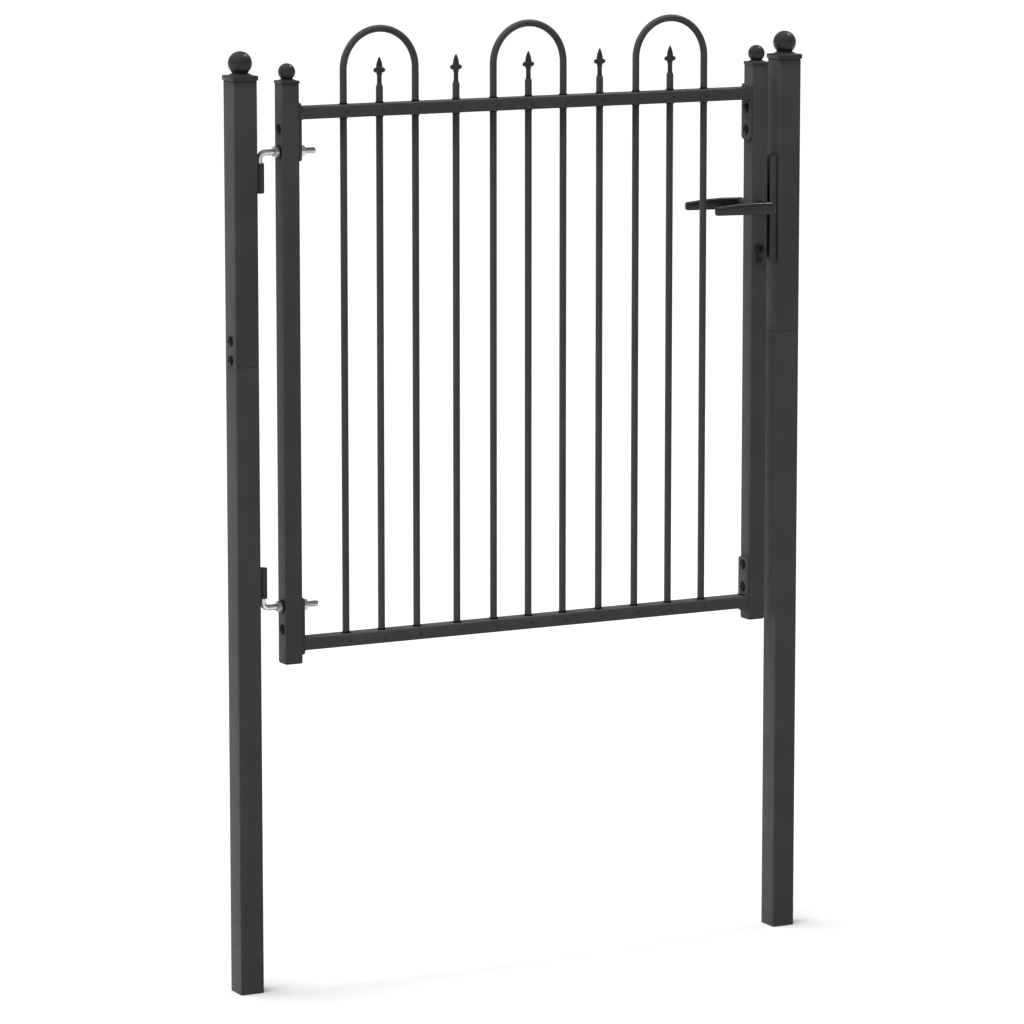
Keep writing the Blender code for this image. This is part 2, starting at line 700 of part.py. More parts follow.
def build_lock_case(lock_stile):
    """The mortise case, its cylinder, and the slots that they and the spindle take in the stile."""
    front_x = LOCK_STILE_X + STILE_SIDE / 2
    low = (CASE_BACK_X, -CASE_HALF, CASE_BOTTOM)
    high = (front_x, CASE_HALF, CASE_TOP)
    case = add_piece("lock_case", box(low, high), "lock_steel", "leaf")
    room_low = (CASE_BACK_X - SLOT_REACH, -CASE_HALF + CASE_WALL, CASE_BOTTOM + CASE_WALL)
    room_high = (front_x - CASE_WALL, CASE_HALF - CASE_WALL, CASE_TOP - CASE_WALL)
    combine(case, box(room_low, room_high), "DIFFERENCE")
    latch_low = (front_x - SLOT_REACH, -LATCH_HALF - GAP, LATCH_Z - LATCH_HEIGHT / 2 - GAP)
    latch_high = (front_x + SLOT_REACH, LATCH_HALF + GAP, LATCH_Z + LATCH_HEIGHT / 2 + GAP)
    bolt_low = (front_x - SLOT_REACH, -BOLT_HALF - GAP, BOLT_Z - BOLT_HEIGHT / 2 - GAP)
    bolt_high = (front_x + SLOT_REACH, BOLT_HALF + GAP, BOLT_Z + BOLT_HEIGHT / 2 + GAP)
    cuts = [
        box(latch_low, latch_high),
        box(bolt_low, bolt_high),
        cylinder_cut(),
        rod("Y", (LOCK_STILE_X, 0, SPINDLE_Z), FOLLOWER_RADIUS, STILE_SIDE),
    ]
    combine(case, merge(cuts), "DIFFERENCE")
    slot_low = (front_x - SLOT_REACH, -CASE_HALF - GAP, CASE_BOTTOM - GAP)
    slot_high = (front_x + SLOT_REACH, CASE_HALF + GAP, CASE_TOP + GAP)
    stile_cuts = [
        box(slot_low, slot_high),
        cylinder_cut(),
        rod("Y", (LOCK_STILE_X, 0, SPINDLE_Z), FOLLOWER_RADIUS, HOLE_REACH * STILE_SIDE),
    ]
    combine(lock_stile, merge(stile_cuts), "DIFFERENCE")


def cylinder_cut():
    """A helper in the shape of the profile cylinder with a gap all round."""
    bm = prism("Y", profile_cylinder_outline(GAP), -1.4 * CYLINDER_HALF, 1.4 * CYLINDER_HALF)
    bmesh.ops.translate(bm, vec=Vector((LOCK_STILE_X, 0, CYLINDER_Z)), verts=bm.verts)
    return bm


def build_cylinder():
    """The profile cylinder, and the round plug that the key turns in it."""
    place = (LOCK_STILE_X, 0, CYLINDER_Z)
    outline = profile_cylinder_outline()
    shell = add_piece(
        "lock_cylinder", prism("Y", outline, -CYLINDER_HALF, CYLINDER_HALF), "cylinder_nickel", "leaf", place
    )
    combine(shell, rod("Y", place, PLUG_RADIUS + 1.3 * GAP, 3 * CYLINDER_HALF), "DIFFERENCE")
    plug = rod("Y", (0, 0, 0), PLUG_RADIUS, 2 * CYLINDER_HALF + 2 * GAP)
    add_piece("cylinder_plug", plug, "lock_steel", "key_plug", place)


def build_bolts():
    """The spring latch, with its sloped nose, and the dead bolt drawn back into the case."""
    front_x = LOCK_STILE_X + STILE_SIDE / 2
    latch_outline = [
        (LATCH_BACK_X, -LATCH_HALF),
        (LATCH_TIP_X, -LATCH_HALF),
        (LATCH_TIP_X, -LATCH_HALF + LATCH_FLAT),
        (front_x + LATCH_SHOULDER, LATCH_HALF),
        (LATCH_BACK_X, LATCH_HALF),
    ]
    low = LATCH_Z - LATCH_HEIGHT / 2
    add_piece("latch_bolt", prism("Z", latch_outline, low, low + LATCH_HEIGHT), "lock_steel", "latch")
    low = BOLT_Z - BOLT_HEIGHT / 2
    dead_bolt = box((BOLT_BACK_X, -BOLT_HALF, low), (front_x - GAP, BOLT_HALF, low + BOLT_HEIGHT))
    add_piece("dead_bolt", dead_bolt, "lock_steel", "deadbolt")


def lever_outline():
    """The side of a lever's grip in X and Z: a round hub, a taper and a gently arched upper edge."""
    tip_x = -LEVER_REACH
    corner = LEVER_TIP_CORNER
    centre_z = -LEVER_TIP_DROP
    hub = arc((0, 0), LEVER_HUB_RADIUS, -90, 90, 8)
    arch = []
    for step in range(1, 7):
        along = step / 7
        straight = LEVER_HUB_RADIUS + (centre_z + LEVER_TIP_HALF - LEVER_HUB_RADIUS) * along
        arch.append((tip_x * along, straight + LEVER_ARCH * math.sin(math.pi * along)))
    tip_top = arc((tip_x + corner, centre_z + LEVER_TIP_HALF - corner), corner, 90, 180, 3)
    tip_bottom = arc((tip_x + corner, centre_z - LEVER_TIP_HALF + corner), corner, 180, 270, 3)
    return hub + arch + tip_top + tip_bottom


def build_lever(name, side):
    """One lever: a flat grip held off the stile by a round neck that takes the square spindle."""
    place = (LOCK_STILE_X, 0, SPINDLE_Z)
    grip_low = side * LEVER_PLANE - LEVER_THICKNESS / 2
    grip = prism("Y", lever_outline(), grip_low, grip_low + LEVER_THICKNESS)
    lever = add_piece(f"{name}_lever", grip, "lever_enamel", "handle", place)
    bevel = lever.modifiers.new("Soft edges", "BEVEL")
    bevel.width = LEVER_EDGE
    bevel.segments = 2
    bevel.limit_method = "ANGLE"
    bevel.angle_limit = math.radians(50)
    face = STILE_SIDE / 2
    neck_length = LEVER_PLANE - face - GAP
    middle = side * (face + GAP + neck_length / 2)
    combine(lever, rod("Y", (LOCK_STILE_X, middle, SPINDLE_Z), LEVER_NECK, neck_length), "UNION")
    half = SPINDLE_SIDE / 2 + GAP
    socket = [(-half, -half), (half, -half), (half, half), (-half, half)]
    socket_end = side * (LEVER_PLANE - SOCKET_DEPTH)
    low, high = sorted((0, socket_end))
    hole = prism("Y", socket, low, high)
    bmesh.ops.translate(hole, vec=Vector(place), verts=hole.verts)
    combine(lever, hole, "DIFFERENCE")
    ring_low, ring_high = sorted((side * (face + GAP), side * (face + GAP + ROSETTE_THICKNESS)))
    outer = ellipse(ROSETTE_RADIUS, ROSETTE_RADIUS)
    inner = ellipse(LEVER_NECK + 1.5 * GAP, LEVER_NECK + 1.5 * GAP)
    ring = tube("Y", outer, inner, ring_low, ring_high)
    add_piece(f"{name}_rosette", ring, "black_screw", "leaf", place)


def build_spindle():
    """The square spindle with the follower that it turns inside the case."""
    half = SPINDLE_SIDE / 2
    square = [(-half, -half), (half, -half), (half, half), (-half, half)]
    reach = LEVER_PLANE - SOCKET_DEPTH - 0.001
    place = (LOCK_STILE_X, 0, SPINDLE_Z)
    spindle = add_piece("spindle", prism("Y", square, -reach, reach), "lock_steel", "handle", place)
    combine(spindle, rod("Y", place, FOLLOWER_RADIUS - GAP, 2 * FOLLOWER_HALF), "UNION")
    arm_low = (LOCK_STILE_X - FOLLOWER_ARM_HALF, -FOLLOWER_HALF / 2, SPINDLE_Z + FOLLOWER_ARM[0])
    arm_high = (LOCK_STILE_X + FOLLOWER_ARM_HALF, FOLLOWER_HALF / 2, SPINDLE_Z + FOLLOWER_ARM[1])
    combine(spindle, box(arm_low, arm_high), "UNION")


def main():
    """Builds the gate closed, with its latch out and its dead bolt in."""
    clear_scene()
    add_bodies()
    build_post("hinge_post", HINGE_POST_X, -1)
    build_post("lock_post", LOCK_POST_X, 1)
    hinge_barrel("upper_hinge_barrel", *UPPER_BARREL)
    hinge_barrel("lower_hinge_barrel", *LOWER_BARREL)
    build_keep()
    hinge_stile = build_stile("hinge_stile", HINGE_STILE_X)
    lock_stile = build_stile("lock_stile", LOCK_STILE_X)
    build_rails()
    build_hoops_and_pickets()
    build_frame_joints(hinge_stile, lock_stile)
    build_lock_case(lock_stile)
    build_cylinder()
    build_bolts()
    build_lever("front", -1)
    build_lever("rear", 1)
    build_spindle()


main()
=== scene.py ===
"""Looks of the garden gate: its posts, hooped leaf, hinges and lock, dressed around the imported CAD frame.

The world is in metres, +Z up, with the gate closed along X between its hinge post and its lock post.
"""

import logging
import math
from collections.abc import Callable
from dataclasses import dataclass, field
from enum import Enum

import bmesh
import bpy
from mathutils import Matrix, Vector


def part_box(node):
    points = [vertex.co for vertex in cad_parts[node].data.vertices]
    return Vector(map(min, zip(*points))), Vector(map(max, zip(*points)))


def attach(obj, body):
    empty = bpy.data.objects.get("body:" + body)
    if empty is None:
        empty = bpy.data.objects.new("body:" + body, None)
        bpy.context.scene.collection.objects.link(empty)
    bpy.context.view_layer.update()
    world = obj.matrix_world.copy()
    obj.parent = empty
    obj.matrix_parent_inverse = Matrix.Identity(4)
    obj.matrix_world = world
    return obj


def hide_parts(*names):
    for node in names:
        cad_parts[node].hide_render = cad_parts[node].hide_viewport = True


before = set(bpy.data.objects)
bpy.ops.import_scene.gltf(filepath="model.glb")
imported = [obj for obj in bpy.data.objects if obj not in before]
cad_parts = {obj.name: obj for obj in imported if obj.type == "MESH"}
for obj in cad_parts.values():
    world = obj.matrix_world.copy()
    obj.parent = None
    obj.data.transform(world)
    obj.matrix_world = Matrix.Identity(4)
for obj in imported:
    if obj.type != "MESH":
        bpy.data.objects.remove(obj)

log = logging.getLogger("garden_gate")
MM = 0.001
SAME_WAY = 0.99  # the cosine past which two directions count as one
GAP = 0.3 * MM  # between pieces that stand on each other


# Named choices


class Facing(Enum):
    """Where the top of a turned piece points, as the turn that takes it there from straight up."""

    UP = (0.0, 0.0, 0.0)
    DOWN = (math.pi, 0.0, 0.0)
    RIGHT = (0.0, math.pi / 2, 0.0)
    LEFT = (0.0, -math.pi / 2, 0.0)
    FRONT = (math.pi / 2, 0.0, 0.0)


class Cut(Enum):
    """How one closed piece acts on another."""

    WELD = "UNION"
    CUT_AWAY = "DIFFERENCE"
    KEEP_COMMON = "INTERSECT"


class Body(Enum):
    """The bodies of the gate that carry new pieces."""

    POSTS = "posts"
    LEAF = "leaf"
    HANDLE = "handle"
    KEY_PLUG = "key_plug"


class Slot(Enum):
    """The record's material slots."""

    POWDER_COAT = "powder_coat"
    ZINC_PLATE = "zinc_plate"
    BLACK_FIXINGS = "black_fixings"
    LEVER_ENAMEL = "lever_enamel"
    LOCK_STEEL = "lock_steel"
    CYLINDER_NICKEL = "cylinder_nickel"


# The bench: modelling by hand with Blender's own operators


def clear_bench() -> None:
    """Deselects everything, so that the next operator acts on its own piece only."""
    bpy.ops.object.select_all(action="DESELECT")


def take(piece: bpy.types.Object) -> None:
    """Makes one piece the only selected and active one."""
    clear_bench()
    piece.select_set(True)
    bpy.context.view_layer.objects.active = piece


class Blank:
    """A piece in work. It starts as a primitive about the world's axes and is shaped in edit mode."""

    def __init__(self, name: str) -> None:
        """Takes over the primitive that was just added, and opens it in edit mode.

        Args:
            name: the piece's name.
        """
        self.piece = bpy.context.object
        self.piece.name = name
        self.piece.data.name = name
        self.radius = 0.0
        self.height = 0.0
        bpy.ops.object.transform_apply(location=True, rotation=True, scale=True)
        bpy.ops.object.mode_set(mode="EDIT")
        bpy.ops.mesh.select_all(action="SELECT")

    @classmethod
    def disc(cls, name: str, radius: float, height: float = 0.0, sides: int = 32) -> "Blank":
        """Starts from a filled circle across Z.

        Args:
            name: the piece's name.
            radius: of the circle.
            height: its place along Z.
            sides: of the circle.

        Returns:
            The blank, with the disc selected.
        """
        clear_bench()
        bpy.ops.mesh.primitive_circle_add(
            vertices=sides, radius=radius, fill_type="NGON", location=(0, 0, height)
        )
        blank = cls(name)
        blank.radius = radius
        blank.height = height
        return blank

    @classmethod
    def block(cls, name: str, low: Vector, high: Vector) -> "Blank":
        """Starts from a cuboid between two corners.

        Args:
            name: the piece's name.
            low: the lowest corner.
            high: the highest corner.

        Returns:
            The blank, all selected.
        """
        low, high = Vector(low), Vector(high)
        clear_bench()
        bpy.ops.mesh.primitive_cube_add(size=1, location=(low + high) / 2, scale=high - low)
        return cls(name)

    def pick_faces(self, test: Callable[[Vector, Vector], bool]) -> "Blank":
        """Selects the faces whose middle and direction pass a test.

        Args:
            test: says whether a face is wanted, from its middle and its normal.

        Returns:
            The same blank.
        """
        bpy.ops.mesh.select_mode(type="FACE")
        bpy.ops.mesh.select_all(action="DESELECT")
        mesh = bmesh.from_edit_mesh(self.piece.data)
        for face in mesh.faces:
            if test(face.calc_center_median(), face.normal):
                face.select_set(True)
        mesh.select_flush_mode()
        bmesh.update_edit_mesh(self.piece.data)
        return self

    def pick_edges(self, test: Callable[[Vector, Vector], bool]) -> "Blank":
        """Selects the edges whose middle and direction pass a test.

        Args:
            test: says whether an edge is wanted, from its middle and the unit vector along it.

        Returns:
            The same blank.
        """
        bpy.ops.mesh.select_mode(type="EDGE")
        bpy.ops.mesh.select_all(action="DESELECT")
        mesh = bmesh.from_edit_mesh(self.piece.data)
        for edge in mesh.edges:
            first, second = (corner.co for corner in edge.verts)
            if test((first + second) / 2, (second - first).normalized()):
                edge.select_set(True)
        mesh.select_flush_mode()
        bmesh.update_edit_mesh(self.piece.data)
        return self

    def pick_points(self, test: Callable[[Vector], bool]) -> "Blank":
        """Selects the vertices whose place passes a test.

        Args:
            test: says whether a vertex is wanted, from its place.

        Returns:
            The same blank.
        """
        bpy.ops.mesh.select_mode(type="VERT")
        bpy.ops.mesh.select_all(action="DESELECT")
        mesh = bmesh.from_edit_mesh(self.piece.data)
        for point in mesh.verts:
            if test(point.co):
                point.select_set(True)
        mesh.select_flush_mode()
        bmesh.update_edit_mesh(self.piece.data)
        return self

    def draw_out(self, move: tuple[float, float, float]) -> "Blank":
        """Extrudes what is selected by a move, and returns the same blank."""
        bpy.ops.mesh.extrude_region_move(TRANSFORM_OT_translate={"value": tuple(move)})
        return self

    def stretch(self, factors: tuple[float, float, float], about: tuple[float, float, float]) -> "Blank":
        """Scales what is selected about a point, and returns the same blank."""
        bpy.ops.transform.resize(value=factors, center_override=tuple(about))
        return self

    def inset(self, width: float) -> "Blank":
        """Insets the selected faces, and returns the same blank."""
        bpy.ops.mesh.inset(thickness=width, use_even_offset=True)
        return self

    def round_over(self, width: float, segments: int = 3) -> "Blank":
        """Bevels the selected edges, and returns the same blank."""
        bpy.ops.mesh.bevel(offset=width, segments=segments, affect="EDGES", clamp_overlap=True)
        return self

    def round_rim(self, width: float, segments: int = 2) -> "Blank":
        """Bevels the outline of the selected faces, and returns the same blank."""
        bpy.ops.mesh.region_to_loop()
        return self.round_over(width, segments)

    def bore_through(self) -> "Blank":
        """Opens a passage between the two selected end faces, and returns the same blank."""
        bpy.ops.mesh.bridge_edge_loops()
        return self

    def turn(self, stations: list[tuple[float, float]]) -> "Blank":
        """Draws the disc along Z through stations, as on a lathe.

        Args:
            stations: (radius, height) pairs. A radius of 0 closes the piece in a tip.

        Returns:
            The same blank, with its last face selected.
        """
        for radius, height in stations:
            self.draw_out((0, 0, height - self.height))
            if radius == 0:
                bpy.ops.mesh.merge(type="CENTER")
            else:
                grow = radius / self.radius
                self.stretch((grow, grow, 1), (0, 0, height))
            self.radius, self.height = radius, height
        return self

    def swing(self, angle: float, centre: Vector, axis: Vector, steps: int) -> "Blank":
        """Spins the selected face round an axis, to draw a bend.

        Args:
            angle: of the bend, in radians.
            centre: a point on the axis.
            axis: its direction. The face turns clockwise as seen against it.
            steps: of the bend.

        Returns:
            The same blank, with the far face selected.
        """
        bpy.ops.mesh.spin(steps=steps, angle=angle, center=tuple(centre), axis=tuple(axis))
        return self

    def finish(
        self, place: tuple[float, float, float] = (0, 0, 0), facing: Facing = Facing.UP, smooth: float = 32.0
    ) -> bpy.types.Object:
        """Closes edit mode, turns and sets the piece in its place, and shades it.

        Args:
            place: where the blank's origin goes.
            facing: where its top points.
            smooth: the angle, in degrees, past which an edge stays crisp.

        Returns:
            The finished piece, with its place in its mesh.
        """
        bpy.ops.mesh.select_mode(type="VERT")
        bpy.ops.mesh.select_all(action="SELECT")
        bpy.ops.mesh.remove_doubles(threshold=1e-6)
        bpy.ops.mesh.normals_make_consistent(inside=False)
        bpy.ops.object.mode_set(mode="OBJECT")
        take(self.piece)
        self.piece.rotation_euler = facing.value
        self.piece.location = place
        bpy.ops.object.transform_apply(location=True, rotation=True, scale=True)
        bpy.ops.object.shade_smooth_by_angle(angle=math.radians(smooth))
        return self.piece


def apply_tool(piece: bpy.types.Object, kind: str, **settings: object) -> None:
    """Adds one modifier with its settings and applies it.

    Args:
        piece: what is changed.
        kind: the modifier's type.
        **settings: its properties.
    """
    take(piece)
    tool = piece.modifiers.new(kind.title(), kind)
    for name, value in settings.items():
        setattr(tool, name, value)
    bpy.ops.object.modifier_apply(modifier=tool.name)


def work(piece: bpy.types.Object, other: bpy.types.Object, how: Cut, smooth: float = 32.0) -> None:
    """Welds another closed piece on, or cuts with it. The other is used up.

    Args:
        piece: what is changed.
        other: the tool or the piece that is welded on.
        how: what is done with it.
        smooth: the angle, in degrees, past which an edge stays crisp.
    """
    apply_tool(piece, "BOOLEAN", operation=how.value, solver="EXACT", object=other)
    bpy.data.objects.remove(other, do_unlink=True)
    take(piece)
    bpy.ops.object.shade_smooth_by_angle(angle=math.radians(smooth))


def copy_to(piece: bpy.types.Object, name: str, move: tuple[float, float, float]) -> bpy.types.Object:
    """Copies a piece, with a mesh of its own, and moves the copy.

    Args:
        piece: what is copied.
        name: the copy's name.
        move: from the piece to its copy.

    Returns:
        The copy.
    """
    take(piece)
    bpy.ops.object.duplicate()
    twin = bpy.context.object
    twin.name = name
    twin.data.name = name
    bpy.ops.transform.translate(value=tuple(move))
    bpy.ops.object.transform_apply(location=True, rotation=True, scale=True)
    return twin


def mirror_to(piece: bpy.types.Object, name: str) -> bpy.types.Object:
    """Copies a piece to the other side of the plane Y = 0.

    Args:
        piece: what is copied.
        name: the copy's name.

    Returns:
        The mirrored copy, with its faces outwards.
    """
    twin = copy_to(piece, name, (0, 0, 0))
    bpy.ops.object.mode_set(mode="EDIT")
    bpy.ops.mesh.select_all(action="SELECT")
    bpy.ops.transform.resize(value=(1, -1, 1), center_override=(0, 0, 0))
    bpy.ops.mesh.normals_make_consistent(inside=False)
    bpy.ops.object.mode_set(mode="OBJECT")
    return twin


def join(pieces: list[bpy.types.Object], name: str) -> bpy.types.Object:
    """Joins several pieces of one body into one object.

    Args:
        pieces: what is joined.
        name: of the whole.

    Returns:
        The joined piece.
    """
    take(pieces[0])
    for piece in pieces[1:]:
        piece.select_set(True)
    if len(pieces) > 1:
        bpy.ops.object.join()
    whole = bpy.context.object
    whole.name = name
    whole.data.name = name
    return whole


# Finishes


def linear(colour: str) -> tuple[float, float, float, float]:
    """Turns an sRGB hex colour to linear values.

    Args:
        colour: such as "#3a3b3d".

    Returns:
        Red, green, blue and an alpha of 1.
    """
    parts = [int(colour[at : at + 2], 16) / 255 for at in (1, 3, 5)]
    red, green, blue = [
        part / 12.92 if part <= 0.04045 else ((part + 0.055) / 1.055) ** 2.4 for part in parts
    ]
    return red, green, blue, 1.0


def add_node(
    tree: bpy.types.NodeTree, kind: str, inputs: dict[str, object], **settings: object
) -> bpy.types.Node:
    """Adds one node with its settings and its links.

    Args:
        tree: the material's nodes.
        kind: the node's type.
        inputs: for each input socket, a value or the socket that feeds it.
        **settings: the node's own properties.

    Returns:
        The node.
    """
    node = tree.nodes.new(kind)
    for name, value in settings.items():
        setattr(node, name, value)
    for name, value in inputs.items():
        if isinstance(value, bpy.types.NodeSocket):
            tree.links.new(value, node.inputs[name])
        else:
            node.inputs[name].default_value = value
    return node


def new_shader(
    title: str,
) -> tuple[bpy.types.Material, bpy.types.NodeTree, bpy.types.Node, bpy.types.NodeSocket]:
    """Starts a material.

    Args:
        title: the material's name.

    Returns:
        The material, its nodes, its shader, and the object coordinates.
    """
    material = bpy.data.materials.new(title)
    material.use_nodes = True
    tree = material.node_tree
    place = add_node(tree, "ShaderNodeTexCoord", {})
    return material, tree, tree.nodes["Principled BSDF"], place.outputs["Object"]


def blend_tones(
    tree: bpy.types.NodeTree, share: bpy.types.NodeSocket, tones: tuple[str, str]
) -> bpy.types.NodeSocket:
    """Goes from one tone to another with a pattern.

    Args:
        tree: the material's nodes.
        share: the pattern, about 0.5 in its middle.
        tones: the two sRGB colours.

    Returns:
        The colour's socket.
    """
    ramp = add_node(tree, "ShaderNodeValToRGB", {"Fac": share})
    first, last = ramp.color_ramp.elements
    first.position, last.position = 0.35, 0.65
    first.color, last.color = linear(tones[0]), linear(tones[1])
    return ramp.outputs["Color"]


def spread(
    tree: bpy.types.NodeTree, share: bpy.types.NodeSocket, low: float, high: float
) -> bpy.types.NodeSocket:
    """Maps a pattern onto a range.

    Args:
        tree: the material's nodes.
        share: the pattern.
        low: the value at its dark end.
        high: the value at its bright end.

    Returns:
        The value's socket.
    """
    inputs = {"Value": share, "From Min": 0.3, "From Max": 0.7, "To Min": low, "To Max": high}
    return add_node(tree, "ShaderNodeMapRange", inputs).outputs["Result"]


@dataclass(frozen=True)
class PowderCoat:
    """Anthracite polyester powder, stoved: a deep grey with a fine pebbled skin and a low sheen."""

    title: str = "powder_coat_anthracite"
    tones: tuple[str, str] = ("#444446", "#4a4a4c")
    roughness: tuple[float, float] = (0.44, 0.54)
    sheen_level: float = 0.2  # the powder's matting agent takes the edge off its gloss
    pebble: float = 2.2 * MM  # really 0.3 to 0.5 mm, drawn coarser so that it shows
    cloud: float = 70 * MM  # slow change in film thickness along a tube

    def material(self) -> bpy.types.Material:
        """Builds the material: clouded colour and sheen under a pebbled bump."""
        material, tree, shader, place = new_shader(self.title)
        clouds = add_node(
            tree, "ShaderNodeTexNoise", {"Vector": place, "Scale": 1 / self.cloud, "Detail": 3.0}
        )
        pebbles = add_node(
            tree, "ShaderNodeTexNoise", {"Vector": place, "Scale": 1 / self.pebble, "Detail": 2.0}
        )
        lumps = add_node(
            tree, "ShaderNodeTexNoise", {"Vector": place, "Scale": 0.3 / self.pebble, "Detail": 1.0}
        )
        colour = blend_tones(tree, clouds.outputs["Fac"], self.tones)
        tree.links.new(colour, shader.inputs["Base Color"])
        tree.links.new(spread(tree, lumps.outputs["Fac"], *self.roughness), shader.inputs["Roughness"])
        bump = add_node(
            tree,
            "ShaderNodeBump",
            {"Height": pebbles.outputs["Fac"], "Strength": 0.22, "Distance": 0.35 * MM},
        )
        tree.links.new(bump.outputs["Normal"], shader.inputs["Normal"])
        shader.inputs["IOR"].default_value = 1.5
        shader.inputs["Specular IOR Level"].default_value = self.sheen_level
        return material


@dataclass(frozen=True)
class ZincPlate:
    """Bright zinc plate on steel: a pale cool metal, slightly cloudy from the bath, with soft reflections."""

    title: str = "bright_zinc_plate"
    tones: tuple[str, str] = ("#b9bdc1", "#d6d9dc")
    roughness: tuple[float, float] = (0.24, 0.38)
    spangle: float = 5 * MM
    grit: float = 1.2 * MM  # plating grain, really about 0.1 mm

    def material(self) -> bpy.types.Material:
        """Builds the material: clouded metal with a grain in its sheen."""
        material, tree, shader, place = new_shader(self.title)
        clouds = add_node(
            tree, "ShaderNodeTexNoise", {"Vector": place, "Scale": 1 / self.spangle, "Detail": 4.0}
        )
        grain = add_node(tree, "ShaderNodeTexNoise", {"Vector": place, "Scale": 1 / self.grit, "Detail": 2.0})
        tree.links.new(blend_tones(tree, clouds.outputs["Fac"], self.tones), shader.inputs["Base Color"])
        tree.links.new(spread(tree, grain.outputs["Fac"], *self.roughness), shader.inputs["Roughness"])
        bump = add_node(
            tree, "ShaderNodeBump", {"Height": grain.outputs["Fac"], "Strength": 0.1, "Distance": 0.1 * MM}
        )
        tree.links.new(bump.outputs["Normal"], shader.inputs["Normal"])
        shader.inputs["Metallic"].default_value = 1.0
        return material


@dataclass(frozen=True)
class BlackOxide:
    """Blackened, oiled steel screws: nearly black, with a slight brown cast and a satin sheen."""

    title: str = "black_oxide_steel"
    tones: tuple[str, str] = ("#0b0b0c", "#121211")
    roughness: tuple[float, float] = (0.4, 0.55)
    sheen_level: float = 0.15  # the oil film leaves it almost matt
    mottle: float = 1.6 * MM

    def material(self) -> bpy.types.Material:
        """Builds the material: a mottled dark skin."""
        material, tree, shader, place = new_shader(self.title)
        mottle = add_node(
            tree, "ShaderNodeTexNoise", {"Vector": place, "Scale": 1 / self.mottle, "Detail": 3.0}
        )
        tree.links.new(blend_tones(tree, mottle.outputs["Fac"], self.tones), shader.inputs["Base Color"])
        tree.links.new(spread(tree, mottle.outputs["Fac"], *self.roughness), shader.inputs["Roughness"])
        bump = add_node(
            tree, "ShaderNodeBump", {"Height": mottle.outputs["Fac"], "Strength": 0.15, "Distance": 0.1 * MM}
        )
        tree.links.new(bump.outputs["Normal"], shader.inputs["Normal"])
        shader.inputs["IOR"].default_value = 1.5
        shader.inputs["Specular IOR Level"].default_value = self.sheen_level
        return material


@dataclass(frozen=True)
class MouldedPlastic:
    """Injection-moulded black polyethylene: a soft dark grey with a fine spark-eroded texture."""

    title: str = "moulded_black_plastic"
    tones: tuple[str, str] = ("#232425", "#2a2b2c")
    grain: float = 1.5 * MM  # really about 0.2 mm

    def material(self) -> bpy.types.Material:
        """Builds the material: a matt grained skin."""
        material, tree, shader, place = new_shader(self.title)
        grain = add_node(tree, "ShaderNodeTexVoronoi", {"Vector": place, "Scale": 1 / self.grain})
        tree.links.new(blend_tones(tree, grain.outputs["Distance"], self.tones), shader.inputs["Base Color"])
        bump = add_node(
            tree,
            "ShaderNodeBump",
            {"Height": grain.outputs["Distance"], "Strength": 0.2, "Distance": 0.1 * MM},
        )
        tree.links.new(bump.outputs["Normal"], shader.inputs["Normal"])
        shader.inputs["Roughness"].default_value = 0.6
        shader.inputs["IOR"].default_value = 1.5
        return material


@dataclass(frozen=True)
class DieCastEnamel:
    """Zinc die casting under baked enamel: smooth dark grey, rounded by the paint, with a clear highlight."""

    title: str = "baked_enamel_on_die_casting"
    tones: tuple[str, str] = ("#2a2b2e", "#303134")
    roughness: tuple[float, float] = (0.2, 0.27)
    ripple: float = 9 * MM  # orange peel

    def material(self) -> bpy.types.Material:
        """Builds the material: enamel with a slight orange peel and a thin gloss coat."""
        material, tree, shader, place = new_shader(self.title)
        ripple = add_node(
            tree, "ShaderNodeTexNoise", {"Vector": place, "Scale": 1 / self.ripple, "Detail": 2.0}
        )
        tree.links.new(blend_tones(tree, ripple.outputs["Fac"], self.tones), shader.inputs["Base Color"])
        tree.links.new(spread(tree, ripple.outputs["Fac"], *self.roughness), shader.inputs["Roughness"])
        bump = add_node(
            tree, "ShaderNodeBump", {"Height": ripple.outputs["Fac"], "Strength": 0.12, "Distance": 0.3 * MM}
        )
        tree.links.new(bump.outputs["Normal"], shader.inputs["Normal"])
        shader.inputs["Coat Weight"].default_value = 0.1
        shader.inputs["Coat Roughness"].default_value = 0.12
        shader.inputs["IOR"].default_value = 1.5
        shader.inputs["Specular IOR Level"].default_value = 0.25
        return material


@dataclass(frozen=True)
class BrushedSteel:
    """Zinc-passivated lock steel, brushed lengthwise: a mid grey metal with fine upright scratches."""

    title: str = "brushed_lock_steel"
    tones: tuple[str, str] = ("#8c8e90", "#a9abad")
    roughness: tuple[float, float] = (0.3, 0.46)
    scratch: float = 0.9 * MM  # really about 0.1 mm apart
    scratch_length: float = 30 * MM

    def material(self) -> bpy.types.Material:
        """Builds the material: a noise drawn out along Z as brushing."""
        material, tree, shader, place = new_shader(self.title)
        stretch = (1 / self.scratch, 1 / self.scratch, 1 / self.scratch_length)
        lengthwise = add_node(tree, "ShaderNodeMapping", {"Vector": place, "Scale": stretch})
        brushing = add_node(
            tree, "ShaderNodeTexNoise", {"Vector": lengthwise.outputs["Vector"], "Scale": 1.0, "Detail": 3.0}
        )
        tree.links.new(blend_tones(tree, brushing.outputs["Fac"], self.tones), shader.inputs["Base Color"])
        tree.links.new(spread(tree, brushing.outputs["Fac"], *self.roughness), shader.inputs["Roughness"])
        bump = add_node(
            tree,
            "ShaderNodeBump",
            {"Height": brushing.outputs["Fac"], "Strength": 0.15, "Distance": 0.05 * MM},
        )
        tree.links.new(bump.outputs["Normal"], shader.inputs["Normal"])
        shader.inputs["Metallic"].default_value = 1.0
        return material


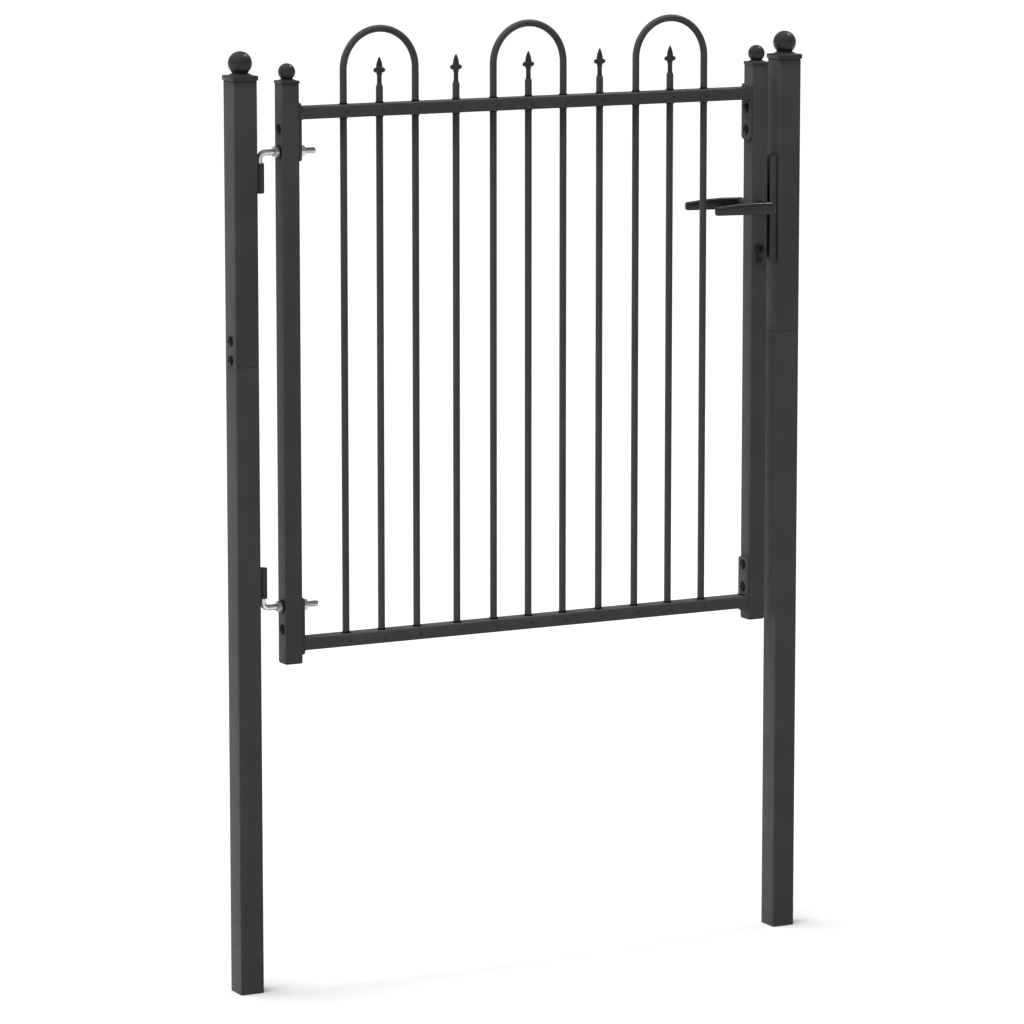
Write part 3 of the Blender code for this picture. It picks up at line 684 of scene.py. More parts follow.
@dataclass(frozen=True)
class DarkNickel:
    """Black-nickel plate on a turned brass cylinder: a dark metal with faint rings from the lathe."""

    title: str = "dark_nickel_plate"
    tones: tuple[str, str] = ("#27282a", "#313235")
    ring: float = 0.8 * MM
    centre: tuple[float, float, float] = (0.0, 0.0, 0.0)

    def material(self) -> bpy.types.Material:
        """Builds the material: rings about the cylinder's own axis."""
        material, tree, shader, place = new_shader(self.title)
        start = tuple(-part for part in self.centre)
        about = add_node(tree, "ShaderNodeMapping", {"Vector": place, "Location": start})
        rings = add_node(
            tree,
            "ShaderNodeTexWave",
            {"Vector": about.outputs["Vector"], "Scale": 0.05 / self.ring, "Distortion": 1.5, "Detail": 2.0},
            wave_type="RINGS",
            rings_direction="Y",
        )
        tree.links.new(blend_tones(tree, rings.outputs["Fac"], self.tones), shader.inputs["Base Color"])
        tree.links.new(spread(tree, rings.outputs["Fac"], 0.3, 0.4), shader.inputs["Roughness"])
        shader.inputs["Metallic"].default_value = 1.0
        return material


class Finishes:
    """Every finish on the gate, each made once."""

    def __init__(self, cylinder_centre: Vector) -> None:
        """Makes the materials.

        Args:
            cylinder_centre: the axis of the lock cylinder, for the rings on its face.
        """
        self.coat = PowderCoat().material()
        # the castings' powder coat: glossier and coarser grained than the tubes', and darker as painted shade
        # on the round caps and points
        self.casting_coat_with_shade = PowderCoat(
            title="powder_coat_on_castings_darkened_as_shade", tones=("#2e2f31", "#343537"), roughness=(0.3, 0.36),
            sheen_level=0.25, pebble=4 * MM
        ).material()
        # the same anthracite powder coat, darkened nearly to black as painted shade in the creases where bars
        # and rails are welded
        self.weld_shade_coat = PowderCoat(
            title="painted_crease_shade_on_welds", tones=("#0e0f10", "#161718"), roughness=(0.5, 0.6),
            sheen_level=0.1, pebble=1.4 * MM
        ).material()
        # the heads' powder coat, darkened as painted shade for the shadowed flanks of the domes
        self.head_shade_coat = PowderCoat(
            title="painted_screw_head", tones=("#17181a", "#1d1e1f"), roughness=(0.4, 0.5), pebble=1.6 * MM
        ).material()
        # the rails' powder coat, a little darker as painted shade round the small domed heads
        self.rivet_shade_coat = PowderCoat(
            title="rivet_painted_shade", tones=("#37383a", "#3d3e40"), roughness=(0.44, 0.54), pebble=1.6 * MM
        ).material()
        self.zinc = ZincPlate().material()
        self.black = BlackOxide().material()
        self.plastic = MouldedPlastic().material()
        self.enamel = DieCastEnamel().material()
        self.steel = BrushedSteel().material()
        self.nickel = DarkNickel(centre=tuple(cylinder_centre)).material()


def dress(
    piece: bpy.types.Object,
    material: bpy.types.Material,
    body: Body,
    stands_for: tuple[str, ...] = (),
) -> bpy.types.Object:
    """Gives a new piece its finish and its place in the mechanism, and reports it.

    Args:
        piece: the finished piece.
        material: its material.
        body: what it moves with.
        stands_for: the CAD nodes that it replaces.

    Returns:
        The same piece.
    """
    piece.data.materials.clear()
    piece.data.materials.append(material)
    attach(piece, body.value)
    if stands_for:
        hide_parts(*stands_for)
    log.info("%s: %d faces on %s", piece.name, len(piece.data.polygons), body.value)
    return piece


def dress_node(node: str, material: bpy.types.Material) -> None:
    """Gives a CAD node that stays in view its finish.

    Args:
        node: the node's name.
        material: its material.
    """
    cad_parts[node].data.materials.clear()
    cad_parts[node].data.materials.append(material)
    log.info("%s: CAD node, %s", node, material.name)


# Sub-assemblies


@dataclass
class SquareTube:
    """A length of square or rectangular tube with rolled corners, open at both ends."""

    wall: float = 1.5 * MM
    corner: float = 2.4 * MM
    rim: float = 0.5 * MM

    def make(self, name: str, low: Vector, high: Vector, along: Vector) -> bpy.types.Object:
        """Draws one length.

        Args:
            name: of the piece.
            low: its lowest corner.
            high: its highest corner.
            along: the unit vector that it runs along.

        Returns:
            The tube.
        """
        blank = Blank.block(name, low, high)
        blank.pick_edges(lambda _, way: abs(way.dot(along)) > SAME_WAY).round_over(self.corner, 6)
        blank.pick_faces(lambda _, normal: abs(normal.dot(along)) > SAME_WAY).round_rim(self.rim)
        blank.pick_faces(lambda _, normal: abs(normal.dot(along)) > SAME_WAY).inset(self.wall).bore_through()
        return blank.finish(smooth=24)


@dataclass
class BallCap:
    """A cast cap: a square rim over the tube's end, a flared neck and a ball."""

    side: float
    rim: float
    ball_radius: float
    ball_height: float
    corner: float = 2.4 * MM
    neck_share: float = 0.65
    foot_share: float = 1.01
    seat: float = 0.5 * MM
    edge: float = 1.6 * MM

    def make(self, name: str, x: float, base: float) -> bpy.types.Object:
        """Builds the rim, then turns the neck and the ball and welds them on.

        Args:
            name: of the piece.
            x: the tube's axis.
            base: the height of the rim's underside.

        Returns:
            The cap.
        """
        half = self.side / 2
        rim = Blank.block(name, (-half, -half, 0), (half, half, self.rim))
        rim.pick_edges(lambda _, way: abs(way.z) > SAME_WAY).round_over(self.corner, 6)
        rim.pick_faces(lambda _, normal: normal.z > SAME_WAY).round_rim(self.edge, 4)
        rim.pick_faces(lambda _, normal: normal.z < -SAME_WAY).round_rim(0.6 * MM)
        cap = rim.finish((x, 0, base))
        foot = min(self.foot_share * self.ball_radius, half - self.edge)
        neck = self.neck_share * self.ball_radius
        centre = self.ball_height - base
        neck_height = centre - math.sqrt(self.ball_radius**2 - neck**2)
        flare_foot = self.rim + self.seat
        flare = [(foot, flare_foot)]
        for step in range(1, 8):
            share = step / 7
            radius = foot + (neck - foot) * share**0.85
            flare.append((radius, flare_foot + (neck_height - flare_foot) * share))
        first = -math.acos(neck / self.ball_radius)
        ball = []
        for step in range(1, 19):
            angle = first + (math.pi / 2 - first) * step / 19
            ball.append((self.ball_radius * math.cos(angle), centre + self.ball_radius * math.sin(angle)))
        top = Blank.disc(f"{name}_ball", foot, self.rim - self.seat, 48)
        top.turn(flare + ball + [(0, centre + self.ball_radius)])
        work(cap, top.finish((x, 0, base), smooth=50), Cut.WELD, 40)
        return cap


@dataclass
class ScrewSet:
    """Domed socket screws, each on a wide black washer."""

    finishes: Finishes
    head_radius: float = 7.0 * MM
    washer_radius: float = 8.6 * MM
    washer: float = 1.1 * MM
    dome: float = 2.8 * MM
    socket: float = 2.1 * MM
    shank: float = 3.0 * MM

    def head(self, name: str, reach: float) -> Blank:
        """Turns a shank and a domed head that stands on the washer.

        Args:
            name: of the piece.
            reach: how far the shank goes behind the face.

        Returns:
            The blank, with its dome up.
        """
        start = self.washer + 0.02 * MM
        blank = Blank.disc(name, self.shank * 0.7, -reach, 28)
        profile = [(self.shank, 0.8 * MM - reach), (self.shank, start)]
        profile += [(self.head_radius - 0.1 * MM, start), (self.head_radius, start + 0.4 * MM)]
        for step in range(1, 6):
            angle = math.pi / 2 * step / 6.6
            radius = self.head_radius * math.cos(angle)
            profile.append((radius, start + 0.4 * MM + (self.dome - 0.4 * MM) * math.sin(angle)))
        profile.append((self.socket * 1.2, start + self.dome))
        return blank.turn(profile)

    def ring(self, name: str) -> Blank:
        """Turns the wide sealing washer, and returns it with its soft outer edge up."""
        blank = Blank.disc(name, self.washer_radius - 0.2 * MM, 0.2 * MM, 32)
        blank.turn([(self.washer_radius, 0.5 * MM), (self.washer_radius, self.washer - 0.3 * MM)])
        return blank.turn([(self.washer_radius - 0.4 * MM, self.washer)])

    def build(self) -> None:
        """Puts a screw and its washer over each of the CAD's screws, with the head where the node has it."""
        for node in sorted(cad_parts):
            if not node.endswith("_screw"):
                continue
            low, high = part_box(node)
            body = Body.POSTS if "post" in node else Body.LEAF
            total = self.washer + self.dome
            if node.startswith("lock_post"):
                face, facing = high.x - total, Facing.RIGHT
            else:
                face, facing = low.x + total, Facing.LEFT
            place = (face, (low.y + high.y) / 2, (low.z + high.z) / 2)
            screw = self.head(f"{node}_domed", high.x - low.x - total).finish(place, facing)
            key = Blank.disc(f"{node}_key", self.socket, self.washer + 0.9 * MM, 6)
            key.turn([(self.socket, total + 1 * MM)])
            work(screw, key.finish(place, facing), Cut.CUT_AWAY)
            washer = self.ring(f"{node}_washer").finish(place, facing)
            bore = Blank.disc(f"{node}_bore", self.shank + 0.1 * MM, -1 * MM, 28)
            bore.turn([(self.shank + 0.1 * MM, total)])
            work(washer, bore.finish(place, facing), Cut.CUT_AWAY)
            # the head takes the darkened coat: painted shade on its dome
            dress(screw, self.finishes.head_shade_coat, body, (node,))
            dress(washer, self.finishes.black, body)


@dataclass
class Posts:
    """The two posts: each a lower and an upper length of tube, and a ball cap."""

    finishes: Finishes
    tube: SquareTube = field(default_factory=SquareTube)
    cap_side: float = 44.5 * MM
    cap_rim: float = 7.8 * MM
    ball_radius: float = 19.3 * MM
    ball_height: float = 1.509

    def build(self) -> None:
        """Makes both posts over their CAD nodes."""
        cap = BallCap(self.cap_side, self.cap_rim, self.ball_radius, self.ball_height)
        for post in ("hinge_post", "lock_post"):
            upper_low, upper_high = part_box(f"{post}_upper")
            lower_low, lower_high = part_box(f"{post}_lower")
            lower_high.z = upper_low.z - GAP
            for part, low, high in (("lower", lower_low, lower_high), ("upper", upper_low, upper_high)):
                piece = self.tube.make(f"{post}_{part}_tube", low, high, Vector((0, 0, 1)))
                dress(piece, self.finishes.coat, Body.POSTS, (f"{post}_{part}",))
            middle = (upper_low.x + upper_high.x) / 2
            piece = cap.make(f"{post}_ball_cap", middle, upper_high.z + GAP)
            # the cap takes the castings' coat, whose darker tone is painted shade
            dress(piece, self.finishes.casting_coat_with_shade, Body.POSTS, (f"{post}_cap",))


@dataclass
class LeafFrame:
    """The leaf's stiles, rails, end plates and caps, with the welds between them."""

    finishes: Finishes
    tube: SquareTube = field(default_factory=lambda: SquareTube(corner=2.0 * MM))
    cap_side: float = 32 * MM
    cap_rim: float = 4.8 * MM
    ball_radius: float = 13.9 * MM
    ball_height: float = 1.4925
    plate_corner: float = 6 * MM
    bead: float = 1.3 * MM
    bead_margin: float = 1.6 * MM

    def build(self) -> None:
        """Makes every part of the frame over its CAD node."""
        self.build_stiles()
        self.build_rails()
        self.build_plates()

    def build_stiles(self) -> None:
        """Makes the two stiles with their caps, and dresses their plugs."""
        cap = BallCap(
            self.cap_side, self.cap_rim, self.ball_radius, self.ball_height,
            corner=2.0 * MM, neck_share=0.64, foot_share=1.04,
        )
        for stile in ("hinge_stile", "lock_stile"):
            low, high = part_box(stile)
            piece = self.tube.make(f"{stile}_tube", low, high, Vector((0, 0, 1)))
            dress(piece, self.finishes.coat, Body.LEAF, (stile,))
            piece = cap.make(f"{stile}_ball_cap", (low.x + high.x) / 2, high.z + GAP)
            # the cap takes the castings' coat, whose darker tone is painted shade
            dress(piece, self.finishes.casting_coat_with_shade, Body.LEAF, (f"{stile}_cap",))
            dress_node(f"{stile}_plug", self.finishes.plastic)

    def build_rails(self) -> None:
        """Makes the two rails, and a weld bead round each of their ends."""
        for rail in ("top_rail", "bottom_rail"):
            low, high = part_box(rail)
            piece = self.tube.make(f"{rail}_tube", low, high, Vector((1, 0, 0)))
            dress(piece, self.finishes.coat, Body.LEAF, (rail,))
            reach = Vector((0, -self.bead_margin, self.bead))
            beads = []
            for x in (low.x, high.x - 2 * self.bead):
                corner = Vector((x, low.y, low.z)) - reach
                far = Vector((x + 2 * self.bead, high.y, high.z)) + reach
                bead = Blank.block(f"{rail}_bead", corner, far)
                bead.pick_edges(lambda _, way: abs(way.x) > SAME_WAY).round_over(2.6 * MM, 4)
                bead.pick_faces(lambda _, normal: abs(normal.x) > SAME_WAY).round_rim(self.bead * 0.8, 4)
                beads.append(bead.finish(smooth=60))
            # the end welds carry the near-black painted crease shade, not a coat of their own
            dress(join(beads, f"{rail}_end_welds"), self.finishes.weld_shade_coat, Body.LEAF)

    def build_plates(self) -> None:
        """Makes the four end plates with rounded corners and soft edges."""
        for level in ("upper", "lower"):
            for side in ("hinge", "lock"):
                node = f"{level}_{side}_plate"
                blank = Blank.block(f"{node}_cut", *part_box(node))
                blank.pick_edges(lambda _, way: abs(way.x) > SAME_WAY).round_over(self.plate_corner, 8)
                blank.pick_faces(lambda _, normal: abs(normal.x) > SAME_WAY).round_rim(0.6 * MM)
                dress(blank.finish(), self.finishes.coat, Body.LEAF, (node,))


@dataclass
class Bars:
    """The hoops, the pickets and their cast points, and what holds them in the rails."""

    finishes: Finishes
    radius: float = 5.8 * MM
    sides: int = 24
    arch_height: float = 1.492
    collar_radius: float = 7.6 * MM
    collar_height: float = 2.8 * MM
    rivet_radius: float = 2.7 * MM
    lobe_height: float = 23.8 * MM  # above the picket's top

    def places(self) -> list[float]:
        """Returns the X of each bar, from the hinge side."""
        places = []
        for number in range(1, 4):
            low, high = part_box(f"hoop_{number}")
            places += [low.x + self.radius, high.x - self.radius]
        for number in range(1, 6):
            low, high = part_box(f"picket_{number}")
            places.append((low.x + high.x) / 2)
        return sorted(places)

    def build(self) -> None:
        """Makes the bars, points, weld collars and rivets."""
        for number in range(1, 4):
            self.build_hoop(number)
        for number in range(1, 6):
            self.build_picket(number)
        self.build_points()
        self.build_collars()
        self.build_rivets()

    def build_hoop(self, number: int) -> None:
        """Draws one leg up, swings it over the arch and draws the other leg down.

        Args:
            number: of the hoop, from the hinge side.
        """
        low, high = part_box(f"hoop_{number}")
        left, right = low.x + self.radius, high.x - self.radius
        middle = Vector(((right - left) / 2, 0, self.arch_height))
        blank = Blank.disc(f"hoop_{number}_bar", self.radius, low.z, self.sides)
        blank.draw_out((0, 0, self.arch_height - low.z)).swing(-math.pi, middle, Vector((0, 1, 0)), 40)
        blank.draw_out((0, 0, low.z - self.arch_height))
        dress(
            blank.finish((left, 0, 0)), self.finishes.coat, Body.LEAF, (f"hoop_{number}",)
        )

    def build_picket(self, number: int) -> None:
        """Draws one straight bar up to its chamfered shoulder.

        Args:
            number: of the picket, from the hinge side.
        """
        low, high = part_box(f"picket_{number}")
        blank = Blank.disc(f"picket_{number}_bar", self.radius, low.z, self.sides)
        blank.turn([(self.radius, high.z - 1.6 * MM), (self.radius - 1.3 * MM, high.z)])
        place = ((low.x + high.x) / 2, 0, 0)
        dress(blank.finish(place), self.finishes.coat, Body.LEAF, (f"picket_{number}",))

    def build_points(self) -> None:
        """Makes one cast point and copies it onto the other pickets."""
        low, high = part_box("spear_1")
        first = self.cast_point("spear_1_casting", (low.x + high.x) / 2, low.z)
        for number in range(2, 6):
            there, there_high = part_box(f"spear_{number}")
            move = ((there.x + there_high.x) / 2 - (low.x + high.x) / 2, 0, 0)
            twin = copy_to(first, f"spear_{number}_casting", move)
            # the points take the castings' coat, whose darker tone is painted shade
            dress(twin, self.finishes.casting_coat_with_shade, Body.LEAF, (f"spear_{number}",))
        dress(first, self.finishes.casting_coat_with_shade, Body.LEAF, ("spear_1",))

    def cast_point(self, name: str, x: float, base: float) -> bpy.types.Object:
        """Turns the neck, draws it on into a flat leaf-shaped blade, and welds on two rounded side lobes.

        Args:
            name: of the piece.
            x: the picket's axis.
            base: the height of the picket's top.

        Returns:
            The casting.
        """
        blank = Blank.disc(name, 4.5 * MM, 0, 24)
        blank.turn(
            [
                (4.5 * MM, 1.0 * MM),
                (3.9 * MM, 2.2 * MM),
                (3.9 * MM, 15.0 * MM),
                (4.7 * MM, 17.0 * MM),
                (4.7 * MM, 18.4 * MM),
                (4.2 * MM, 20.0 * MM),
                (4.8 * MM, 24.0 * MM),
                (5.6 * MM, 27.5 * MM),
                (5.4 * MM, 31.0 * MM),
                (4.6 * MM, 35.2 * MM),
                (3.1 * MM, 40.0 * MM),
                (1.4 * MM, 43.8 * MM),
                (0, 45.5 * MM),
            ]
        )
        blank.pick_points(lambda point: point.z > 20 * MM).stretch((1, 0.72, 1), (0, 0, 0))
        point = blank.finish((x, 0, base), smooth=50)
        for facing in (Facing.LEFT, Facing.RIGHT):
            lobe = Blank.disc(f"{name}_lobe", 3.0 * MM, 2.0 * MM, 20)
            lobe.turn(
                [
                    (3.9 * MM, 3.4 * MM),
                    (4.3 * MM, 5.0 * MM),
                    (4.1 * MM, 6.8 * MM),
                    (3.3 * MM, 8.6 * MM),
                    (2.1 * MM, 10.1 * MM),
                    (0, 10.8 * MM),
                ]
            )
            lobe.pick_points(lambda _: True).stretch((1, 0.75, 1), (0, 0, 0))
            work(point, lobe.finish((x, 0, base + self.lobe_height), facing, 50), Cut.WELD, 45)
        return point

    def build_collars(self) -> None:
        """Makes one small weld collar and copies it to where each bar meets a rail."""
        top_low, top_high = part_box("top_rail")
        bottom_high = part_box("bottom_rail")[1]
        pattern = Blank.disc("collar", self.collar_radius - 0.4 * MM, -0.4 * MM, 20)
        pattern.turn(
            [
                (self.collar_radius, 0.3 * MM),
                (self.collar_radius - 0.7 * MM, 1.1 * MM),
                (self.radius + 0.6 * MM, 2.2 * MM),
                (self.radius + 0.1 * MM, self.collar_height),
                (self.radius - 0.6 * MM, self.collar_height + 0.2 * MM),
            ]
        )
        pattern.pick_points(lambda point: 0.2 * MM < point.z < 2.6 * MM)
        bpy.ops.transform.vertex_random(offset=0.25 * MM, seed=7)
        upright = pattern.finish(smooth=70)
        hanging = copy_to(upright, "collar_hanging", (0, 0, 0))
        hanging.rotation_euler = Facing.DOWN.value
        bpy.ops.object.transform_apply(location=True, rotation=True, scale=True)
        collars = []
        for number, x in enumerate(self.places(), 1):
            for pattern_piece, height in (
                (upright, top_high.z), (hanging, top_low.z), (upright, bottom_high.z)
            ):
                collars.append(copy_to(pattern_piece, f"collar_{number}_{len(collars)}", (x, 0, height)))
        for pattern_piece in (upright, hanging):
            bpy.data.objects.remove(pattern_piece, do_unlink=True)
        # the collars carry the near-black painted shade of the creases round each bar
        dress(join(collars, "bar_weld_collars"), self.finishes.weld_shade_coat, Body.LEAF)

    def build_rivets(self) -> None:
        """Makes one small rivet head and copies it along the rails' front faces, one at each bar."""
        pattern = Blank.disc("rivet", self.rivet_radius, -0.3 * MM, 16)
        pattern.turn(
            [
                (self.rivet_radius, 0.3 * MM),
                (0.86 * self.rivet_radius, 0.8 * MM),
                (0.5 * self.rivet_radius, 1.05 * MM),
                (0.42 * self.rivet_radius, 1.05 * MM),
                (0.3 * self.rivet_radius, 0.5 * MM),
            ]
        )
        rivet = pattern.finish((0, 0, 0), Facing.FRONT)
        rivets = []
        for rail in ("top_rail", "bottom_rail"):
            low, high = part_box(rail)
            for number, x in enumerate(self.places(), 1):
                place = (x, low.y, (low.z + high.z) / 2)
                rivets.append(copy_to(rivet, f"{rail}_rivet_{number}", place))
        bpy.data.objects.remove(rivet, do_unlink=True)
        # the rivets take the rails' coat darkened as painted shade
        dress(join(rivets, "rail_rivets"), self.finishes.rivet_shade_coat, Body.LEAF)


@dataclass
class Hinges:
    """The bent hinge bolts with their nuts, and the barrels they turn in."""

    finishes: Finishes
    axis_x: float = -0.468
    rod: float = 5 * MM
    bend: float = 10 * MM
    sides: int = 24
    pitch: float = 1.5 * MM
    thread_length: float = 27 * MM
    thread_depth: float = 0.9
    flats: float = 17 * MM
    nut_height: float = 8 * MM
    washer_radius: float = 9.2 * MM
    wide_washer_radius: float = 11.3 * MM
    washer: float = 1.4 * MM
    barrel_radius: float = 8 * MM
    bore: float = 5.4 * MM

    def build(self) -> None:
        """Makes both hinges."""
        for level, hangs in (("upper", True), ("lower", False)):
            self.build_bolt(level, hangs)
            self.build_barrel(level)
            for place, facing in (("outer", Facing.LEFT), ("inner", Facing.RIGHT)):
                self.build_nut(f"{level}_{place}_nut", facing)

    def build_bolt(self, level: str, hangs: bool) -> None:
        """Draws the pin, swings it into the bend, draws the shank and cuts a thread on its end.

        Args:
            level: upper or lower.
            hangs: whether the pin points down.
        """
        node = f"{level}_hinge_bolt"
        low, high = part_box(node)
        sign = 1 if hangs else -1
        pin_end = low.z if hangs else high.z
        shank = high.z - self.rod if hangs else low.z + self.rod
        bend_start = shank - sign * self.bend
        blank = Blank.disc(f"{node}_rod", self.rod - 0.8 * MM, pin_end, self.sides)
        blank.turn([(self.rod, pin_end + sign * 0.8 * MM), (self.rod, bend_start)])
        blank.swing(-sign * math.pi / 2, Vector((self.bend, 0, bend_start)), Vector((0, 1, 0)), 12)
        plain = high.x - self.thread_length - (self.axis_x + self.bend)
        blank.draw_out((plain, 0, 0))
        steps = round(4 * (self.thread_length - 1 * MM) / self.pitch)
        for _ in range(steps):
            blank.draw_out((self.pitch / 4, 0, 0))
        blank.draw_out((high.x - self.axis_x - self.bend - plain - steps * self.pitch / 4, 0, 0))
        blank.stretch((1, 0.8, 0.8), (0, 0, shank))
        start = self.bend + plain

        def in_groove(point: Vector) -> bool:
            """Says whether a point of the shank's skin lies in the thread's groove."""
            along = point.x - start
            if along < 0.2 * MM or abs(point.y) < 1e-9 and abs(point.z - shank) < 1e-9:
                return False
            round_share = math.atan2(point.z - shank, point.y) / (2 * math.pi)
            return (along / self.pitch - round_share) % 1 < 0.45

        blank.pick_points(in_groove).stretch((1, self.thread_depth, self.thread_depth), (0, 0, shank))
        piece = blank.finish((self.axis_x, 0, 0), smooth=40)
        dress(piece, self.finishes.zinc, Body.LEAF, (node,))

    def build_nut(self, node: str, facing: Facing) -> None:
        """Turns a chamfered body, keeps what it shares with a hexagon, and lays a washer behind it.

        Args:
            node: the CAD nut.
            facing: where its outer face points.
        """
        low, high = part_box(node)
        face = high.x if facing is Facing.LEFT else low.x
        place = (face, 0, (low.z + high.z) / 2)
        corner = self.flats / 2 / math.cos(math.pi / 6)
        top = self.washer + self.nut_height
        nut = Blank.disc(f"{node}_hexagon", corner, self.washer, 6)
        piece = nut.turn([(corner, top)]).finish(place, facing)
        chamfer = Blank.disc(f"{node}_chamfer", self.flats / 2 - 0.3 * MM, self.washer - 0.01 * MM, 48)
        chamfer.turn([(corner + 0.2 * MM, self.washer + 1.2 * MM), (corner + 0.2 * MM, top - 1.2 * MM)])
        chamfer.turn([(self.flats / 2 - 0.3 * MM, top + 0.01 * MM)])
        work(piece, chamfer.finish(place, facing), Cut.KEEP_COMMON)
        outer = facing is Facing.LEFT
        radius = self.wide_washer_radius if outer else self.washer_radius
        washer = Blank.disc(f"{node}_washer", radius - 0.2 * MM, 0, 40)
        washer.turn([(radius, 0.3 * MM), (radius, self.washer - 0.2 * MM), (radius - 0.3 * MM, self.washer)])
        ring = washer.finish(place, facing)
        for part in (piece, ring):
            bore = Blank.disc(f"{node}_bore", self.rod + 0.25 * MM, -1 * MM, self.sides)
            bore.turn([(self.rod + 0.25 * MM, top - 0.8 * MM), (self.rod + 1.2 * MM, top + 0.2 * MM)])
            work(part, bore.finish(place, facing), Cut.CUT_AWAY)
        dress(piece, self.finishes.zinc, Body.LEAF, (node,))
        if outer:
            dress(ring, self.finishes.black, Body.LEAF)
        else:
            dress(ring, self.finishes.zinc, Body.LEAF)

    def build_barrel(self, level: str) -> None:
        """Turns the barrel and bores it, then welds on its tab with a bead down each side.

        Args:
            level: upper or lower.
        """
        node = f"{level}_hinge_barrel"
        low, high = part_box(node)
        blank = Blank.disc(f"{node}_turned", self.barrel_radius - 0.6 * MM, low.z, 40)
        blank.turn([(self.barrel_radius, low.z + 0.6 * MM), (self.barrel_radius, high.z - 0.6 * MM)])
        blank.turn([(self.barrel_radius - 0.6 * MM, high.z)])
        piece = blank.finish((self.axis_x, 0, 0))
        tab = Blank.block(
            f"{node}_tab", (low.x, -5 * MM, low.z + 2 * MM), (self.axis_x - 6 * MM, 5 * MM, high.z - 2 * MM)
        )
        tab.pick_edges(lambda _, way: abs(way.x) > SAME_WAY).round_over(1.2 * MM, 3)
        work(piece, tab.finish(), Cut.WELD)
        for side in (-1, 1):
            bead = Blank.disc(f"{node}_bead", 1.2 * MM, low.z + 3 * MM, 12)
            bead.turn([(1.9 * MM, low.z + 4.5 * MM), (1.9 * MM, high.z - 4.5 * MM)])
            bead.turn([(1.2 * MM, high.z - 3 * MM)])
            work(piece, bead.finish((low.x + 1.5 * MM, side * 5 * MM, 0), smooth=60), Cut.WELD)
        bore = Blank.disc(f"{node}_bore", self.bore, low.z - 1 * MM, 32).turn([(self.bore, high.z + 1 * MM)])
        work(piece, bore.finish((self.axis_x, 0, 0)), Cut.CUT_AWAY)
        dress(piece, self.finishes.coat, Body.POSTS, (node,))


@dataclass
class Keep:
    """The folded keep on the lock post, bent from one plate."""

    finishes: Finishes
    sheet: float = 2 * MM
    bend: float = 2.6 * MM
    stop_lip: float = 23 * MM
    latch_lip: float = 14 * MM
    inward: float = -1.0

    def build(self) -> None:
        """Draws the web's two edges out into lips, rounds the folds and gives the plate its thickness."""
        low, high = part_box("latch_keep")
        back = high.x
        middle = (back, (low.y + high.y) / 2, (low.z + high.z) / 2)
        clear_bench()
        bpy.ops.mesh.primitive_plane_add(size=1, location=middle, rotation=(0, math.pi / 2, 0))
        blank = Blank("latch_keep_folded")
        blank.stretch((1, high.y - low.y, high.z - low.z), middle)
        blank.pick_edges(lambda middle, _: middle.y < low.y + 0.1 * MM).draw_out((-self.latch_lip, 0, 0))
        blank.pick_edges(lambda middle, _: middle.y > high.y - 0.1 * MM and abs(middle.x - back) < 0.1 * MM)
        blank.draw_out((low.x - back, 0, 0))
        blank.pick_edges(lambda middle, way: abs(way.z) > SAME_WAY and abs(middle.x - back) < 0.1 * MM)
        blank.round_over(self.bend, 6)
        keep = blank.finish()
        apply_tool(keep, "SOLIDIFY", thickness=self.sheet, offset=self.inward, use_even_offset=True)
        fold = math.radians(50)
        apply_tool(keep, "BEVEL", width=0.4 * MM, segments=2, limit_method="ANGLE", angle_limit=fold)
        take(keep)
        bpy.ops.object.shade_smooth_by_angle(angle=math.radians(32))
        dress(keep, self.finishes.coat, Body.POSTS, ("latch_keep",))


